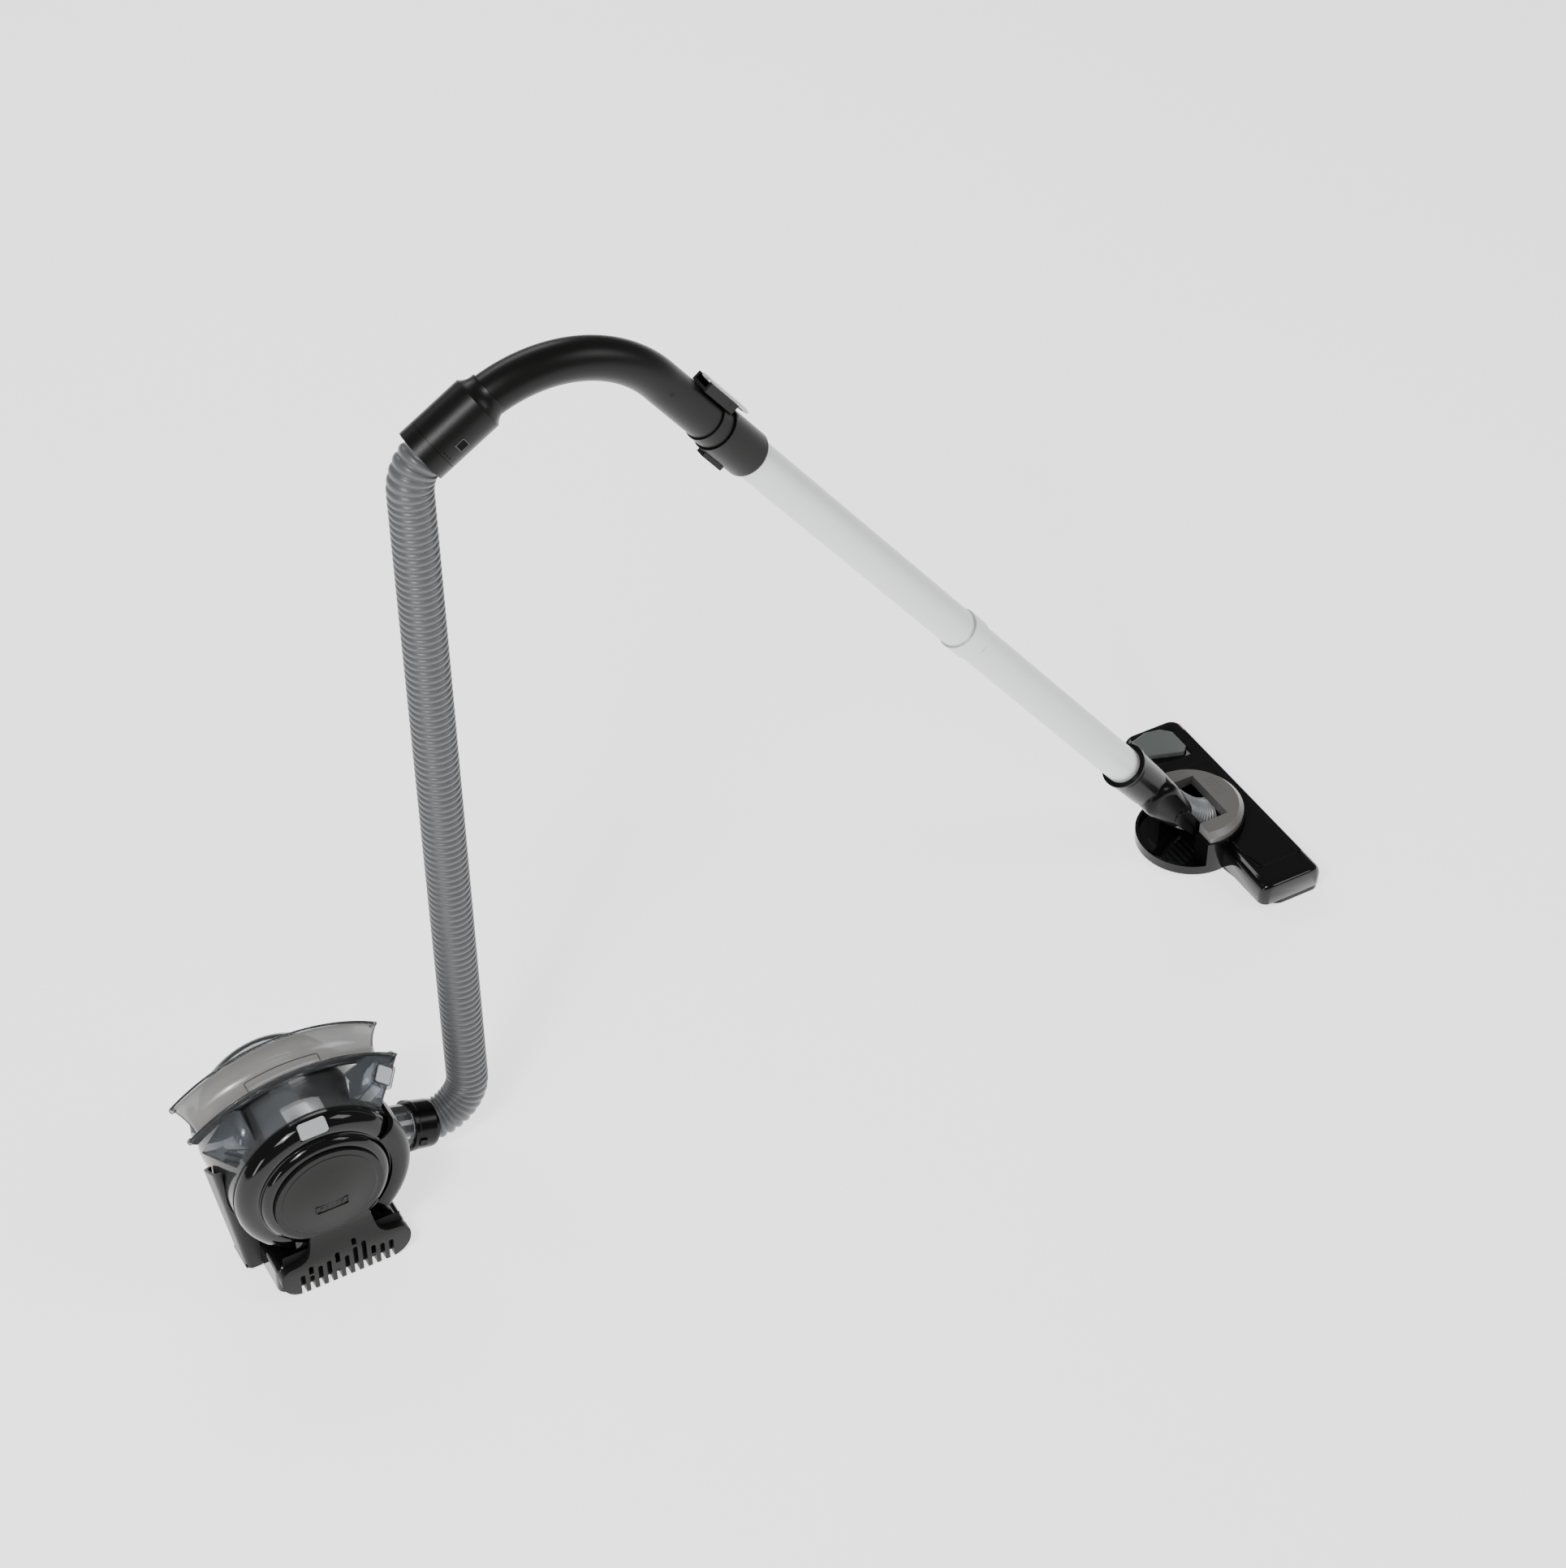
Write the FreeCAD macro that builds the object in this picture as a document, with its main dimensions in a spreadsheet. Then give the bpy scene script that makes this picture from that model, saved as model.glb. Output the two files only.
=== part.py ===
import FreeCAD, Part
import math
import os
from FreeCAD import Placement, Rotation, Vector

# Canister vacuum cleaner: a floor canister with a see-through dust bowl, a ribbed hose,
# a curved handle, a two-piece wand and a floor head with a tilting neck.
# Row frame: origin on the floor under the canister, +Z up, +X towards the floor head,
# +Y to the rear of the canister. Hose, handle, wand and neck lie in the plane y = 0.

doc = FreeCAD.newDocument("canister_vacuum")

SIZES = {
    # canister drum, its axis parallel to Y
    "drum_axis_z": 105.0, "face_radius": 49.0, "face_front": 95.0, "drum_radius": 76.0,
    "wall": 2.5, "drum_back": 70.2, "bowl_front": 68.8, "bowl_back": -8.0, "rim_back": -32.0,
    "rim_radius": 64.0,
    # base
    "base_centre_x": 6.0, "base_half_width": 60.0, "base_front": 92.0, "base_depth": 132.0,
    "base_top": 32.0, "base_bottom": 4.2, "plate_bottom": 1.6, "panel_front": 100.0,
    "vent_width": 4.2, "vent_pitch": 8.2,
    # hose storage trough over the bowl
    "trough_x": 5.3, "trough_z": 38.0, "trough_radius": 160.5, "trough_bore": 19.5,
    "trough_y": -14.0,
    # hose and its fittings
    "hose_radius": 18.0, "hose_wall": 2.4, "outlet_drop": 17.0, "coupler_length": 24.0,
    "cuff_x": 177.0, "cuff_z": 750.0, "cuff_lean": 58.0, "cuff_radius": 23.0, "cuff_bore": 19.7,
    "cuff_ring_length": 13.0,
    # handle and wand
    "tube_radius": 17.5, "tube_wall": 1.5, "handle_wall": 2.5, "handle_bend": 119.0,
    "wand_x": 427.0, "wand_z": 686.0, "wand_lean": 142.17, "collar_length": 48.0,
    "joint_start": 385.0, "joint_length": 22.0, "wand_length": 721.0, "socket_start": 697.0,
    "socket_end": 745.0, "pivot_along": 835.7,
    # floor head
    "head_front": 1013.0, "head_rear": 944.0, "head_centre_y": 4.0, "head_half_length": 123.0,
    "head_low": 8.0, "head_high": 31.0, "turret_x": 940.0, "turret_radius": 52.0,
    "cap_top": 51.0, "notch_half": 29.0, "pin_radius": 1.5, "fit_gap": 0.05,
    "screw_radius": 1.5, "wheel_radius": 7.0, "brush_travel": 3.5,
}

sheet = doc.addObject("Spreadsheet::Sheet", "Size")
for row, (alias, number) in enumerate(SIZES.items(), start=1):
    sheet.set(f"A{row}", alias)
    sheet.set(f"B{row}", str(number))
    sheet.setAlias(f"B{row}", alias)
doc.recompute()


def size(alias):
    """A driving dimension, read back from the sheet."""
    return float(sheet.get(alias))


NODES = {}


def node(obj, label):
    """Registers a finished sub-part under the name of its file."""
    obj.Label = label
    NODES[label] = obj
    return obj


def assign(obj, prop, value):
    """Sets a property to a number, or binds it to an expression on the sheet."""
    if isinstance(value, str):
        obj.setExpression(prop, value)
    else:
        setattr(obj, prop, value)


# ---------------------------------------------------------------- primitives and booleans

def box(name, corner, dims, placement=None):
    """A block from its low corner, optionally in the frame of a placement."""
    obj = doc.addObject("Part::Box", name)
    for prop, value in zip(("Length", "Width", "Height"), dims):
        assign(obj, prop, value)
    local = Placement(Vector(*corner), Rotation())
    obj.Placement = placement.multiply(local) if placement else local
    return obj


def cylinder(name, radius, height, placement):
    obj = doc.addObject("Part::Cylinder", name)
    assign(obj, "Radius", radius)
    assign(obj, "Height", height)
    obj.Placement = placement
    return obj


def cone(name, low_radius, high_radius, height, placement):
    obj = doc.addObject("Part::Cone", name)
    assign(obj, "Radius1", low_radius)
    assign(obj, "Radius2", high_radius)
    assign(obj, "Height", height)
    obj.Placement = placement
    return obj


def fuse(name, *parts):
    obj = doc.addObject("Part::MultiFuse", name)
    obj.Shapes = list(parts)
    return obj


def cut(name, base, *tools):
    obj = doc.addObject("Part::Cut", name)
    obj.Base = base
    obj.Tool = tools[0] if len(tools) == 1 else fuse(name + "_tools", *tools)
    return obj


def common(name, first, second):
    obj = doc.addObject("Part::Common", name)
    obj.Base = first
    obj.Tool = second
    return obj


def group(name, *solids):
    """Separate solids of one kind, kept together in one sub-part."""
    obj = doc.addObject("Part::Compound", name)
    obj.Links = list(solids)
    return obj


def fillet(name, base, radius, wanted):
    """Rounds the edges of a finished shape whose middle point passes a test."""
    doc.recompute()
    obj = doc.addObject("Part::Fillet", name)
    obj.Base = base
    edges = base.Shape.Edges
    obj.Edges = [(i, radius, radius) for i, edge in enumerate(edges, start=1)
                 if wanted(edge.CenterOfMass, edge)]
    return obj


def feature(name, shape, placement=None):
    """A shape made with Part's own functions, for forms that no primitive gives."""
    obj = doc.addObject("Part::Feature", name)
    obj.Shape = shape
    obj.Placement = placement or Placement()
    return obj


def prism(name, points, direction, length):
    """A straight prism on a flat outline given as points in the row frame."""
    wire = Part.makePolygon([Vector(*p) for p in points] + [Vector(*points[0])])
    solid = Part.Face(wire).extrude(Vector(*direction).normalize() * length)
    return feature(name, solid)


def arc_path(points, radii):
    """Straight runs joined by tangent arcs, one radius for each inner point."""
    points = [Vector(*p) for p in points]
    edges = []
    start = points[0]
    for i, radius in enumerate(radii, start=1):
        corner = points[i]
        back = (points[i - 1] - corner).normalize()
        ahead = (points[i + 1] - corner).normalize()
        half = (math.pi - back.getAngle(ahead)) / 2
        reach = radius * math.tan(half)
        first = corner + back * reach
        last = corner + ahead * reach
        inward = (back + ahead).normalize()
        middle = corner + inward * (radius / math.cos(half) - radius)
        edges.append(Part.LineSegment(start, first).toShape())
        edges.append(Part.Arc(first, middle, last).toShape())
        start = last
    edges.append(Part.LineSegment(start, points[-1]).toShape())
    return Part.Wire(edges)


def sweep(path, radius):
    """A round bar of one radius along a path of lines and arcs."""
    start = path.Edges[0]
    heading = start.tangentAt(start.FirstParameter)
    profile = Part.Wire([Part.makeCircle(radius, path.Vertexes[0].Point, heading)])
    return path.makePipeShell([profile], True, True)


# ---------------------------------------------------------------- part design bodies

def plane_of(body, role):
    return next(item for item in body.Origin.OriginFeatures if item.Role == role)


def new_body(name, placement=None):
    body = doc.addObject("PartDesign::Body", name)
    body.Placement = placement or Placement()
    return body


def sketch_on(body, name, role, height=0.0):
    sketch = body.newObject("Sketcher::SketchObject", name)
    sketch.AttachmentSupport = [(plane_of(body, role), "")]
    sketch.MapMode = "FlatFace"
    sketch.AttachmentOffset = Placement(Vector(0, 0, height), Rotation())
    return sketch


def draw(sketch, steps):
    """Draws a closed outline: (x, y) is a line's end, (x, y, mx, my) an arc's through m."""
    here = Vector(steps[-1][0], steps[-1][1], 0)
    for step in steps:
        there = Vector(step[0], step[1], 0)
        if len(step) == 4:
            arc = Part.Arc(here, Vector(step[2], step[3], 0), there)
            sketch.addGeometry(arc, False)
        else:
            sketch.addGeometry(Part.LineSegment(here, there), False)
        here = there


def revolve_body(name, steps, placement, angle=360.0):
    """A turned piece: the outline holds (radius, height) pairs about the local Z axis."""
    body = new_body(name, placement)
    sketch = sketch_on(body, name + "_profile", "XZ_Plane")
    draw(sketch, steps)
    turned = body.newObject("PartDesign::Revolution", name + "_turned")
    turned.Profile = sketch
    turned.ReferenceAxis = (sketch, ["V_Axis"])
    turned.Angle = angle
    return body


def pad_body(name, steps, placement, length, role="XY_Plane", height=0.0):
    body = new_body(name, placement)
    sketch = sketch_on(body, name + "_outline", role, height)
    draw(sketch, steps)
    pad = body.newObject("PartDesign::Pad", name + "_pad")
    pad.Profile = sketch
    assign(pad, "Length", length)
    return body


def pocket(body, sketch, name, length, through=False, reverse=False):
    """Cuts a sketch out of its body, and stops if the cut removed nothing."""
    doc.recompute()
    before = body.Shape.Volume
    tool = body.newObject("PartDesign::Pocket", name)
    tool.Profile = sketch
    tool.Type = 1 if through else 0
    if not through:
        assign(tool, "Length", length)
    tool.Reversed = reverse
    doc.recompute()
    if body.Shape.Volume >= before:
        raise RuntimeError(name + " cuts nothing")
    return tool


# ---------------------------------------------------------------- frames

AXIS_Z = size("drum_axis_z")
DRUM = size("drum_radius")
WALL = size("wall")

# Drum frame: local Z runs forwards (row -Y), local Y upwards, origin on the drum's axis.
drum_frame = Placement(Vector(0, 0, AXIS_Z), Rotation(Vector(1, 0, 0), 90))


def along_drum(front):
    """The drum frame moved to a station, counted forwards from the mid-plane."""
    return drum_frame.multiply(Placement(Vector(0, 0, front), Rotation()))


def lean_frame(origin, lean):
    """A frame whose Z axis leans from row +Z towards +X by an angle in degrees."""
    return Placement(origin, Rotation(Vector(0, 1, 0), lean))


def moved(frame, x=0.0, y=0.0, z=0.0):
    return frame.multiply(Placement(Vector(x, y, z), Rotation()))


def across(frame):
    """The same place with the local Z axis turned to run along row Y."""
    return Placement(frame.Base, Rotation(Vector(1, 0, 0), -90))


wand_frame = lean_frame(Vector(size("wand_x"), 0, size("wand_z")), size("wand_lean"))
cuff_frame = lean_frame(Vector(size("cuff_x"), 0, size("cuff_z")), size("cuff_lean"))
outlet_frame = lean_frame(Vector(107.5, 0, 39), 90.0 + size("outlet_drop"))

# ---------------------------------------------------------------- canister housing

GROOVE = 59.5
drum_outline = [
    (58.5, 85.5, 55.6, 90.4), (GROOVE, 85.0), (DRUM, 73.0, 70.5, 82.6),
    (DRUM, size("drum_back")), (DRUM - WALL, size("drum_back")), (DRUM - WALL, 73.0),
    (GROOVE, 82.0, 68.6, 80.2), (56.0, 83.0), (49.3, 89.2, 53.0, 87.6), (49.3, 92.0),
]
drum_raw = revolve_body("drum_body", drum_outline, drum_frame)

# Room that the drum and the bowl need in the parts that cradle them.
clear_outline = [
    (DRUM + 0.6, -60.0), (DRUM + 0.6, 74.5), (74.6, 79.4), (71.2, 83.8), (66.0, 86.4),
    (60.2, 87.0), (57.0, 91.6), (49.9, 92.9), (0.0, 92.9), (0.0, -60.0),
]
drum_room = revolve_body("drum_room", clear_outline, drum_frame)

# Release button: a pad on the sloping shoulder of the drum, pressed along its own Z axis.
release_frame = Placement(Vector(-3, -79.5, AXIS_Z + 68.5), Rotation(Vector(1, 0, 0), 38))
release_well = box("release_well", (-12.6, -7.1, -12), (25.2, 14.2, 24), release_frame)
node(cut("drum_ring_cut", drum_raw, release_well), "drum_ring")
release_block = box("release_block", (-12.2, -6.7, -1.5), (24.4, 13.4, 7.5), release_frame)
node(fillet("release_round", release_block, 2.6,
            lambda c, e: abs(e.tangentAt(e.FirstParameter).dot(release_frame.Rotation.multVec(
                Vector(0, 0, 1)))) > 0.99), "release_button")

# Front panel: the matt face, its neck and the vented front of the base in one moulding.
BX = size("base_centre_x")
HALF = size("base_half_width")
NECK = 30.0
panel_outline = [
    (BX + HALF - 20, 2.2), (BX + HALF, 22.2, BX + HALF - 5.9, 8.1), (BX + HALF, 25.0),
    (BX + 48, 35.0, BX + HALF - 2.5, 32.3), (BX + 40, 36.0), (BX + NECK, 50.0, BX + 32.5, 41.5),
    (BX + NECK - 3, 66.0), (BX - NECK + 3, 66.0), (BX - NECK, 50.0),
    (BX - 40, 36.0, BX - 32.5, 41.5), (BX - 48, 35.0), (BX - HALF, 25.0, BX - HALF + 2.5, 32.3),
    (BX - HALF, 22.2), (BX - HALF + 20, 2.2, BX - HALF + 5.9, 8.1),
]
panel_frame = Placement(Vector(0, -93.2, 0), Rotation())
panel = pad_body("panel_body", panel_outline, panel_frame, "Size.panel_front - 93.2", "XZ_Plane")
vents = sketch_on(panel, "vent_outline", "XZ_Plane")
VENT_HEIGHTS = [
    [(0, 22)], [(0, 17.5), (20, 29)], [(0, 25.6)], [(0, 27.4)], [(0, 12), (21, 33)], [(0, 25)],
    [(0, 31), (34, 41)], [(0, 34)], [(0, 12), (14, 24)], [(0, 22)], [(0, 22)],
]
half_vent = size("vent_width") / 2
for index, spans in enumerate(VENT_HEIGHTS):
    middle = BX + (index - 5) * size("vent_pitch")
    for low, high in spans:
        left, right = middle - half_vent, middle + half_vent
        low_z, high_z = 2.2 + low - (2.0 if low == 0 else 0.0), 2.2 + high
        draw(vents, [(right, low_z), (right, high_z), (left, high_z), (left, low_z)])
pocket(panel, vents, "vents", 0, through=True, reverse=True)
panel_slope = prism("panel_slope", [(-60, -100.1, 36), (-60, -95.2, 62), (-60, -95.2, 80),
                                    (-60, -104, 80), (-60, -104, 36)], (1, 0, 0), 130)
face_disc = cylinder("face_disc", "Size.face_radius", 4.4, along_drum(size("face_front") - 4.4))
face_soft = fillet("face_soft", face_disc, 1.6, lambda c, e: c.y < -94.9)
node(fuse("front_panel_all", cut("panel_cut", panel, panel_slope), face_soft), "front_panel")

# Matt shroud on the right shoulder of the drum: part of a turned ring.
shroud_outline = [
    (60.4, 87.9), (67.0, 89.0), (78.0, 85.5, 73.5, 87.8), (90.0, 66.0, 86.4, 77.0), (90.0, 50.0),
    (77.0, 50.0), (77.0, 74.6), (75.0, 79.7), (71.5, 84.2), (66.2, 86.8), (60.4, 87.3),
]
SHROUD_START = -52.0
shroud_frame = drum_frame.multiply(Placement(Vector(), Rotation(Vector(0, 0, 1), SHROUD_START)))
shroud = revolve_body("shroud_body", shroud_outline, shroud_frame, 84.0)
node(shroud, "side_shroud")

# Base shell: a hollow tray turned over, cradling the drum, with four screw posts.
base_left = BX - HALF
base_block = box("base_block", (base_left, -size("base_front"), size("base_bottom")),
                 ("Size.base_half_width * 2", "Size.base_depth",
                  "Size.base_top - Size.base_bottom"))
base_round = fillet("base_round", base_block, 20.0,
                    lambda c, e: abs(e.tangentAt(e.FirstParameter).z) > 0.9 and c.y > 0)
base_front_round = fillet("base_front_round", base_round, 8.0,
                          lambda c, e: abs(e.tangentAt(e.FirstParameter).z) > 0.9 and c.y < -80)
base_soft = fillet("base_soft", base_front_round, 7.0,
                   lambda c, e: c.z > size("base_top") - 0.1 and c.y > -91)
cradle = box("cradle", (base_left + 20, -90.5, 28), (80, 125, 36))
neck_core = box("neck_core", (BX - NECK + 2, -92.2, 28), (2 * NECK - 4, 16, 36))
spigot_room = cylinder("spigot_room", 20.6, 80.0, moved(outlet_frame, z=-80))
shroud_room = box("shroud_room", (35.5, -92, 44), (20, 16, 26))
base_solid = cut("base_solid", fuse("base_fused", base_soft, cradle, neck_core), drum_room,
                 spigot_room, shroud_room)
base_room = box("base_room", (base_left + 3, -89.2, 0), (2 * HALF - 6, 126, 25.4))
base_hollow = cut("base_hollow", base_solid, base_room)
POSTS = [(base_left + 11, -78), (base_left + 109, -78), (base_left + 14, 27),
         (base_left + 106, 27)]
posts = [cylinder(f"post_{i}", 4.5, 22.0, Placement(Vector(x, y, 4.2), Rotation()))
         for i, (x, y) in enumerate(POSTS)]
post_holes = [cylinder(f"post_hole_{i}", "Size.screw_radius + Size.fit_gap", 14.0,
                       Placement(Vector(x, y, 0), Rotation())) for i, (x, y) in enumerate(POSTS)]
switch_frame = Placement(Vector(BX + 44.5, -82, size("base_top")), Rotation())
switch_slot = box("switch_slot", (-3.9, -1.6, -10), (9.8, 3.2, 20), switch_frame)
JACK = Placement(Vector(BX + HALF - 6, -30, 18), Rotation(Vector(0, 1, 0), 90))
jack_hole = cylinder("jack_hole", 5.1, 12.0, JACK)
node(cut("base_shell_cut", fuse("base_with_posts", base_hollow, *posts), switch_slot, jack_hole,
         *post_holes), "base_shell")

# Power switch: a cap above the slot, its stem in the slot, sliding along X.
switch_cap = box("switch_cap", (-3.5, -3.5, 0.2), (7, 7, 3.2), switch_frame)
switch_stem = box("switch_stem", (-3.5, -1.4, -8.5), (4, 2.8, 8.8), switch_frame)
node(fuse("power_switch_all", switch_cap, switch_stem), "power_switch")

# Charging jack: a socket through the right wall of the base.
jack_body = cylinder("jack_body", 5.0, 8.0, moved(JACK, z=-1.2))
jack_bore = cylinder("jack_bore", 2.8, 6.0, moved(JACK, z=2.0))
node(cut("charging_jack_cut", jack_body, jack_bore), "charging_jack")

# Base plate with countersinks for its screws, and the feet under it.
plate_depth = size("base_depth") - 0.5
plate_block = box("plate_block", (base_left + 0.5, -91.5, size("plate_bottom")),
                  ("Size.base_half_width * 2 - 1", plate_depth - 0.5, 2.4))
plate_round = fillet("plate_round", plate_block, 19.5,
                     lambda c, e: abs(e.tangentAt(e.FirstParameter).z) > 0.9 and c.y > 0)
plate_front = fillet("plate_front", plate_round, 7.5,
                     lambda c, e: abs(e.tangentAt(e.FirstParameter).z) > 0.9 and c.y < -80)
head_holes = [cone(f"head_hole_{i}", 3.3, 1.7, 1.6,
                   Placement(Vector(x, y, size("plate_bottom")), Rotation()))
              for i, (x, y) in enumerate(POSTS)]
shank_holes = [cylinder(f"shank_hole_{i}", 1.7, 6.0, Placement(Vector(x, y, 0), Rotation()))
               for i, (x, y) in enumerate(POSTS)]
node(cut("base_plate_cut", plate_front, *head_holes, *shank_holes), "base_plate")


def countersunk_screw(name, x, y):
    head = cone(name + "_head", 3.1, 1.5, 1.6,
                Placement(Vector(x, y, size("plate_bottom") + 0.1), Rotation()))
    shank = cylinder(name + "_shank", "Size.screw_radius", 10.0,
                     Placement(Vector(x, y, size("plate_bottom") + 0.5), Rotation()))
    return fuse(name, head, shank)


node(group("screws_group", *[countersunk_screw(f"base_screw_{i}", x, y)
                             for i, (x, y) in enumerate(POSTS)]), "base_screws")
FEET = [(BX - 42, -62), (BX + 42, -62), (BX - 38, 10), (BX + 38, 10), (0, 0)]
node(group("feet_group", *[cylinder(f"foot_{i}", 8.0, "Size.plate_bottom",
                                    Placement(Vector(x, y, 0), Rotation()))
                           for i, (x, y) in enumerate(FEET)]), "rubber_feet")

# Battery cells in a tray, and the circuit board behind them.
CELL_RADIUS = 9.1
cell_xs = [BX + 20.0 * k for k in (-2, -1, 0, 1, 2)]
cells = [cylinder(f"cell_{i}", CELL_RADIUS, 65.0,
                  Placement(Vector(x, -66, 14.6), Rotation(Vector(1, 0, 0), -90)))
         for i, x in enumerate(cell_xs)]
node(group("cells_group", *cells), "battery_cells")
cell_rooms = [cylinder(f"cell_room_{i}", CELL_RADIUS + 0.2, 65.6,
                       Placement(Vector(x, -66.3, 14.6), Rotation(Vector(1, 0, 0), -90)))
              for i, x in enumerate(cell_xs)]
tray_block = box("tray_block", (BX - 51, -69, 4.1), (102, 71, 7.0))
node(cut("battery_tray_cut", tray_block, *cell_rooms), "battery_tray")
board = box("board", (BX - 32, 5, 8.2), (64, 26, 1.6))
chips = [box(f"chip_{i}", (BX - 24 + 20 * i, 12, 9.7), (9, 9, 3.0 + i)) for i in range(3)]
legs = [box(f"board_leg_{i}", (BX + x, y, 4.1), (4, 3, 4.2))
        for i, (x, y) in enumerate(((-31, 6), (27, 6), (-31, 27), (27, 27)))]
node(fuse("circuit_board_all", board, *chips, *legs), "circuit_board")

# Tool holster on the left: an open-topped pocket leaning outwards.
holster_solid = prism("holster_solid", [(-54.1, -53, 3), (-69, -53, 3), (-88.5, -53, 126),
                                        (-77.5, -53, 126), (-54.1, -53, 62)], (0, 1, 0), 38)
holster_pocket = prism("holster_pocket", [(-57, -50, 8), (-66.8, -50, 8), (-86.0, -50, 128),
                                          (-60, -50, 128), (-57, -50, 62)], (0, 1, 0), 32)
node(cut("nozzle_holster_cut", holster_solid, holster_pocket, drum_room), "nozzle_holster")

# ---------------------------------------------------------------- dust bowl and door

BOWL_FRONT = size("bowl_front")
BOWL_BACK = size("bowl_back")
RIM_BACK = size("rim_back")
RIM = size("rim_radius")
bowl_tube = cylinder("bowl_tube", "Size.drum_radius", BOWL_FRONT - BOWL_BACK,
                     along_drum(BOWL_BACK))
bowl_taper = cone("bowl_taper", "Size.rim_radius", "Size.drum_radius", BOWL_BACK - RIM_BACK,
                  along_drum(RIM_BACK))
room_tube = cylinder("room_tube", DRUM - WALL, BOWL_FRONT - BOWL_BACK + 2, along_drum(BOWL_BACK))
room_taper = cone("room_taper", RIM - WALL, DRUM - WALL, BOWL_BACK - RIM_BACK,
                  along_drum(RIM_BACK))
room_mouth = cylinder("room_mouth", RIM - WALL, 6.0, along_drum(RIM_BACK - 5))
bowl_room = fuse("bowl_room", room_tube, room_taper, room_mouth)

# Hose storage trough: a ring sector of U section laid over the bowl.
TROUGH_R = size("trough_radius")
TROUGH_BORE = size("trough_bore")
TROUGH_START, TROUGH_SWEEP = 56.2, 72.4
trough_frame = Placement(Vector(size("trough_x"), size("trough_y"), size("trough_z")),
                         Rotation(Vector(1, 0, 0), 90))


def trough_part(name, radius, spread=0.0):
    """Half-round bar bent round the trough's centre, kept below the rims of the trough."""
    bar = doc.addObject("Part::Torus", name)
    bar.Radius1 = TROUGH_R
    bar.Radius2 = radius
    bar.Angle1 = -180
    bar.Angle2 = 180
    bar.Angle3 = TROUGH_SWEEP + 2 * spread
    bar.Placement = trough_frame.multiply(
        Placement(Vector(), Rotation(Vector(0, 0, 1), TROUGH_START - spread)))
    return bar


rim_limit = cylinder("rim_limit", TROUGH_R, 60.0, moved(trough_frame, z=-30))
trough_outer = common("trough_outer", trough_part("trough_bar", TROUGH_BORE + WALL), rim_limit)
trough_void = trough_part("trough_void", TROUGH_BORE, 1.0)
bowl_room_below = cut("bowl_room_below", bowl_room, trough_outer)


def wing(name, corners, thickness):
    """A flat plate on a polygon, thickened inwards from its outer face."""
    points = [Vector(*p) for p in corners]
    normal = (points[1] - points[0]).cross(points[2] - points[0]).normalize()
    if normal.y > 0:
        normal = normal * -1
    flat = [p - normal * ((p - points[0]).dot(normal)) for p in points]
    return prism(name, [tuple(p) for p in flat], tuple(normal * -1), thickness), normal


right_wing, right_normal = wing("right_wing", [(93, -36, 171), (62, -67, 150), (38, -67, 165),
                                               (40, -45, 184), (66, -36, 185)], WALL)
left_wing, _ = wing("left_wing", [(-86, -36, 147), (-62, -67, 142), (-46, -67, 160),
                                  (-48, -38, 182), (-62, -36, 180)], WALL)

# Door-latch button: a square key in the right wing, pressed square to it.
right_out = Vector(right_normal)
right_across = Vector(0, 0, 1).cross(right_out).normalize()
right_up = right_out.cross(right_across).normalize()
latch_turn = Rotation(right_across, right_up, right_out, "ZXY")
wing_middle = Vector(93, -36, 171) * 0.52 + Vector(62, -67, 150) * 0.30 + Vector(46, -45, 183) * 0.18
latch_frame = Placement(wing_middle, latch_turn)
latch_well = box("latch_well", (-7.3, -7.3, -6), (14.6, 14.6, 12), latch_frame)
latch_block = box("latch_block", (-7, -7, -3.0), (14, 14, 5.4), latch_frame)
node(fillet("latch_round", latch_block, 2.5,
            lambda c, e: abs(e.tangentAt(e.FirstParameter).dot(right_out)) > 0.99),
     "door_latch_button")

# Hose outlet: a spigot from the bowl's lower right wall.
SPIGOT_BACK = 72.0
spigot_outer = cylinder("spigot_outer", 20.0, SPIGOT_BACK, moved(outlet_frame, z=-SPIGOT_BACK))
spigot_bore = cylinder("spigot_bore", 17.3, SPIGOT_BACK + 6, moved(outlet_frame, z=-SPIGOT_BACK - 5))

# Hinge knuckles for the door, on the left of the rim.
HINGE = Vector(-69.0, 37.0, AXIS_Z)


def knuckle(name, low, high, tab_start_y):
    """A hinge barrel and the tab that joins it to its part."""
    barrel = cylinder(name + "_barrel", 3.6, high - low,
                      Placement(Vector(HINGE.x, HINGE.y, low), Rotation()))
    tab = box(name + "_tab", (HINGE.x, tab_start_y, low), (7.5, 2.9, high - low))
    return [barrel, tab]


hinge_bore = cylinder("hinge_bore", "Size.pin_radius + Size.fit_gap", 60.0,
                      Placement(Vector(HINGE.x, HINGE.y, AXIS_Z - 30), Rotation()))
low_knuckle = knuckle("low_knuckle", AXIS_Z - 17, AXIS_Z - 9, 29.1)
high_knuckle = knuckle("high_knuckle", AXIS_Z + 9, AXIS_Z + 17, 29.1)
low_link = box("low_link", (HINGE.x - 1.6, 29.6, AXIS_Z - 17), (3.2, 6, 8))
high_link = box("high_link", (HINGE.x - 1.6, 29.6, AXIS_Z + 9), (3.2, 6, 8))
bowl_fused = fuse("bowl_fused", bowl_tube, bowl_taper, trough_outer, right_wing, left_wing,
                  spigot_outer, low_link, high_link, *low_knuckle, *high_knuckle)
node(cut("dust_bowl_cut", bowl_fused, bowl_room_below, trough_void, latch_well, spigot_bore,
         hinge_bore), "dust_bowl")
node(revolve_body("bowl_seal_body", [(DRUM + 0.4, BOWL_FRONT), (DRUM + 0.4, size("drum_back")),
                                     (DRUM - WALL, size("drum_back")),
                                     (DRUM - WALL, BOWL_FRONT)], drum_frame), "bowl_seal")

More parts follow.
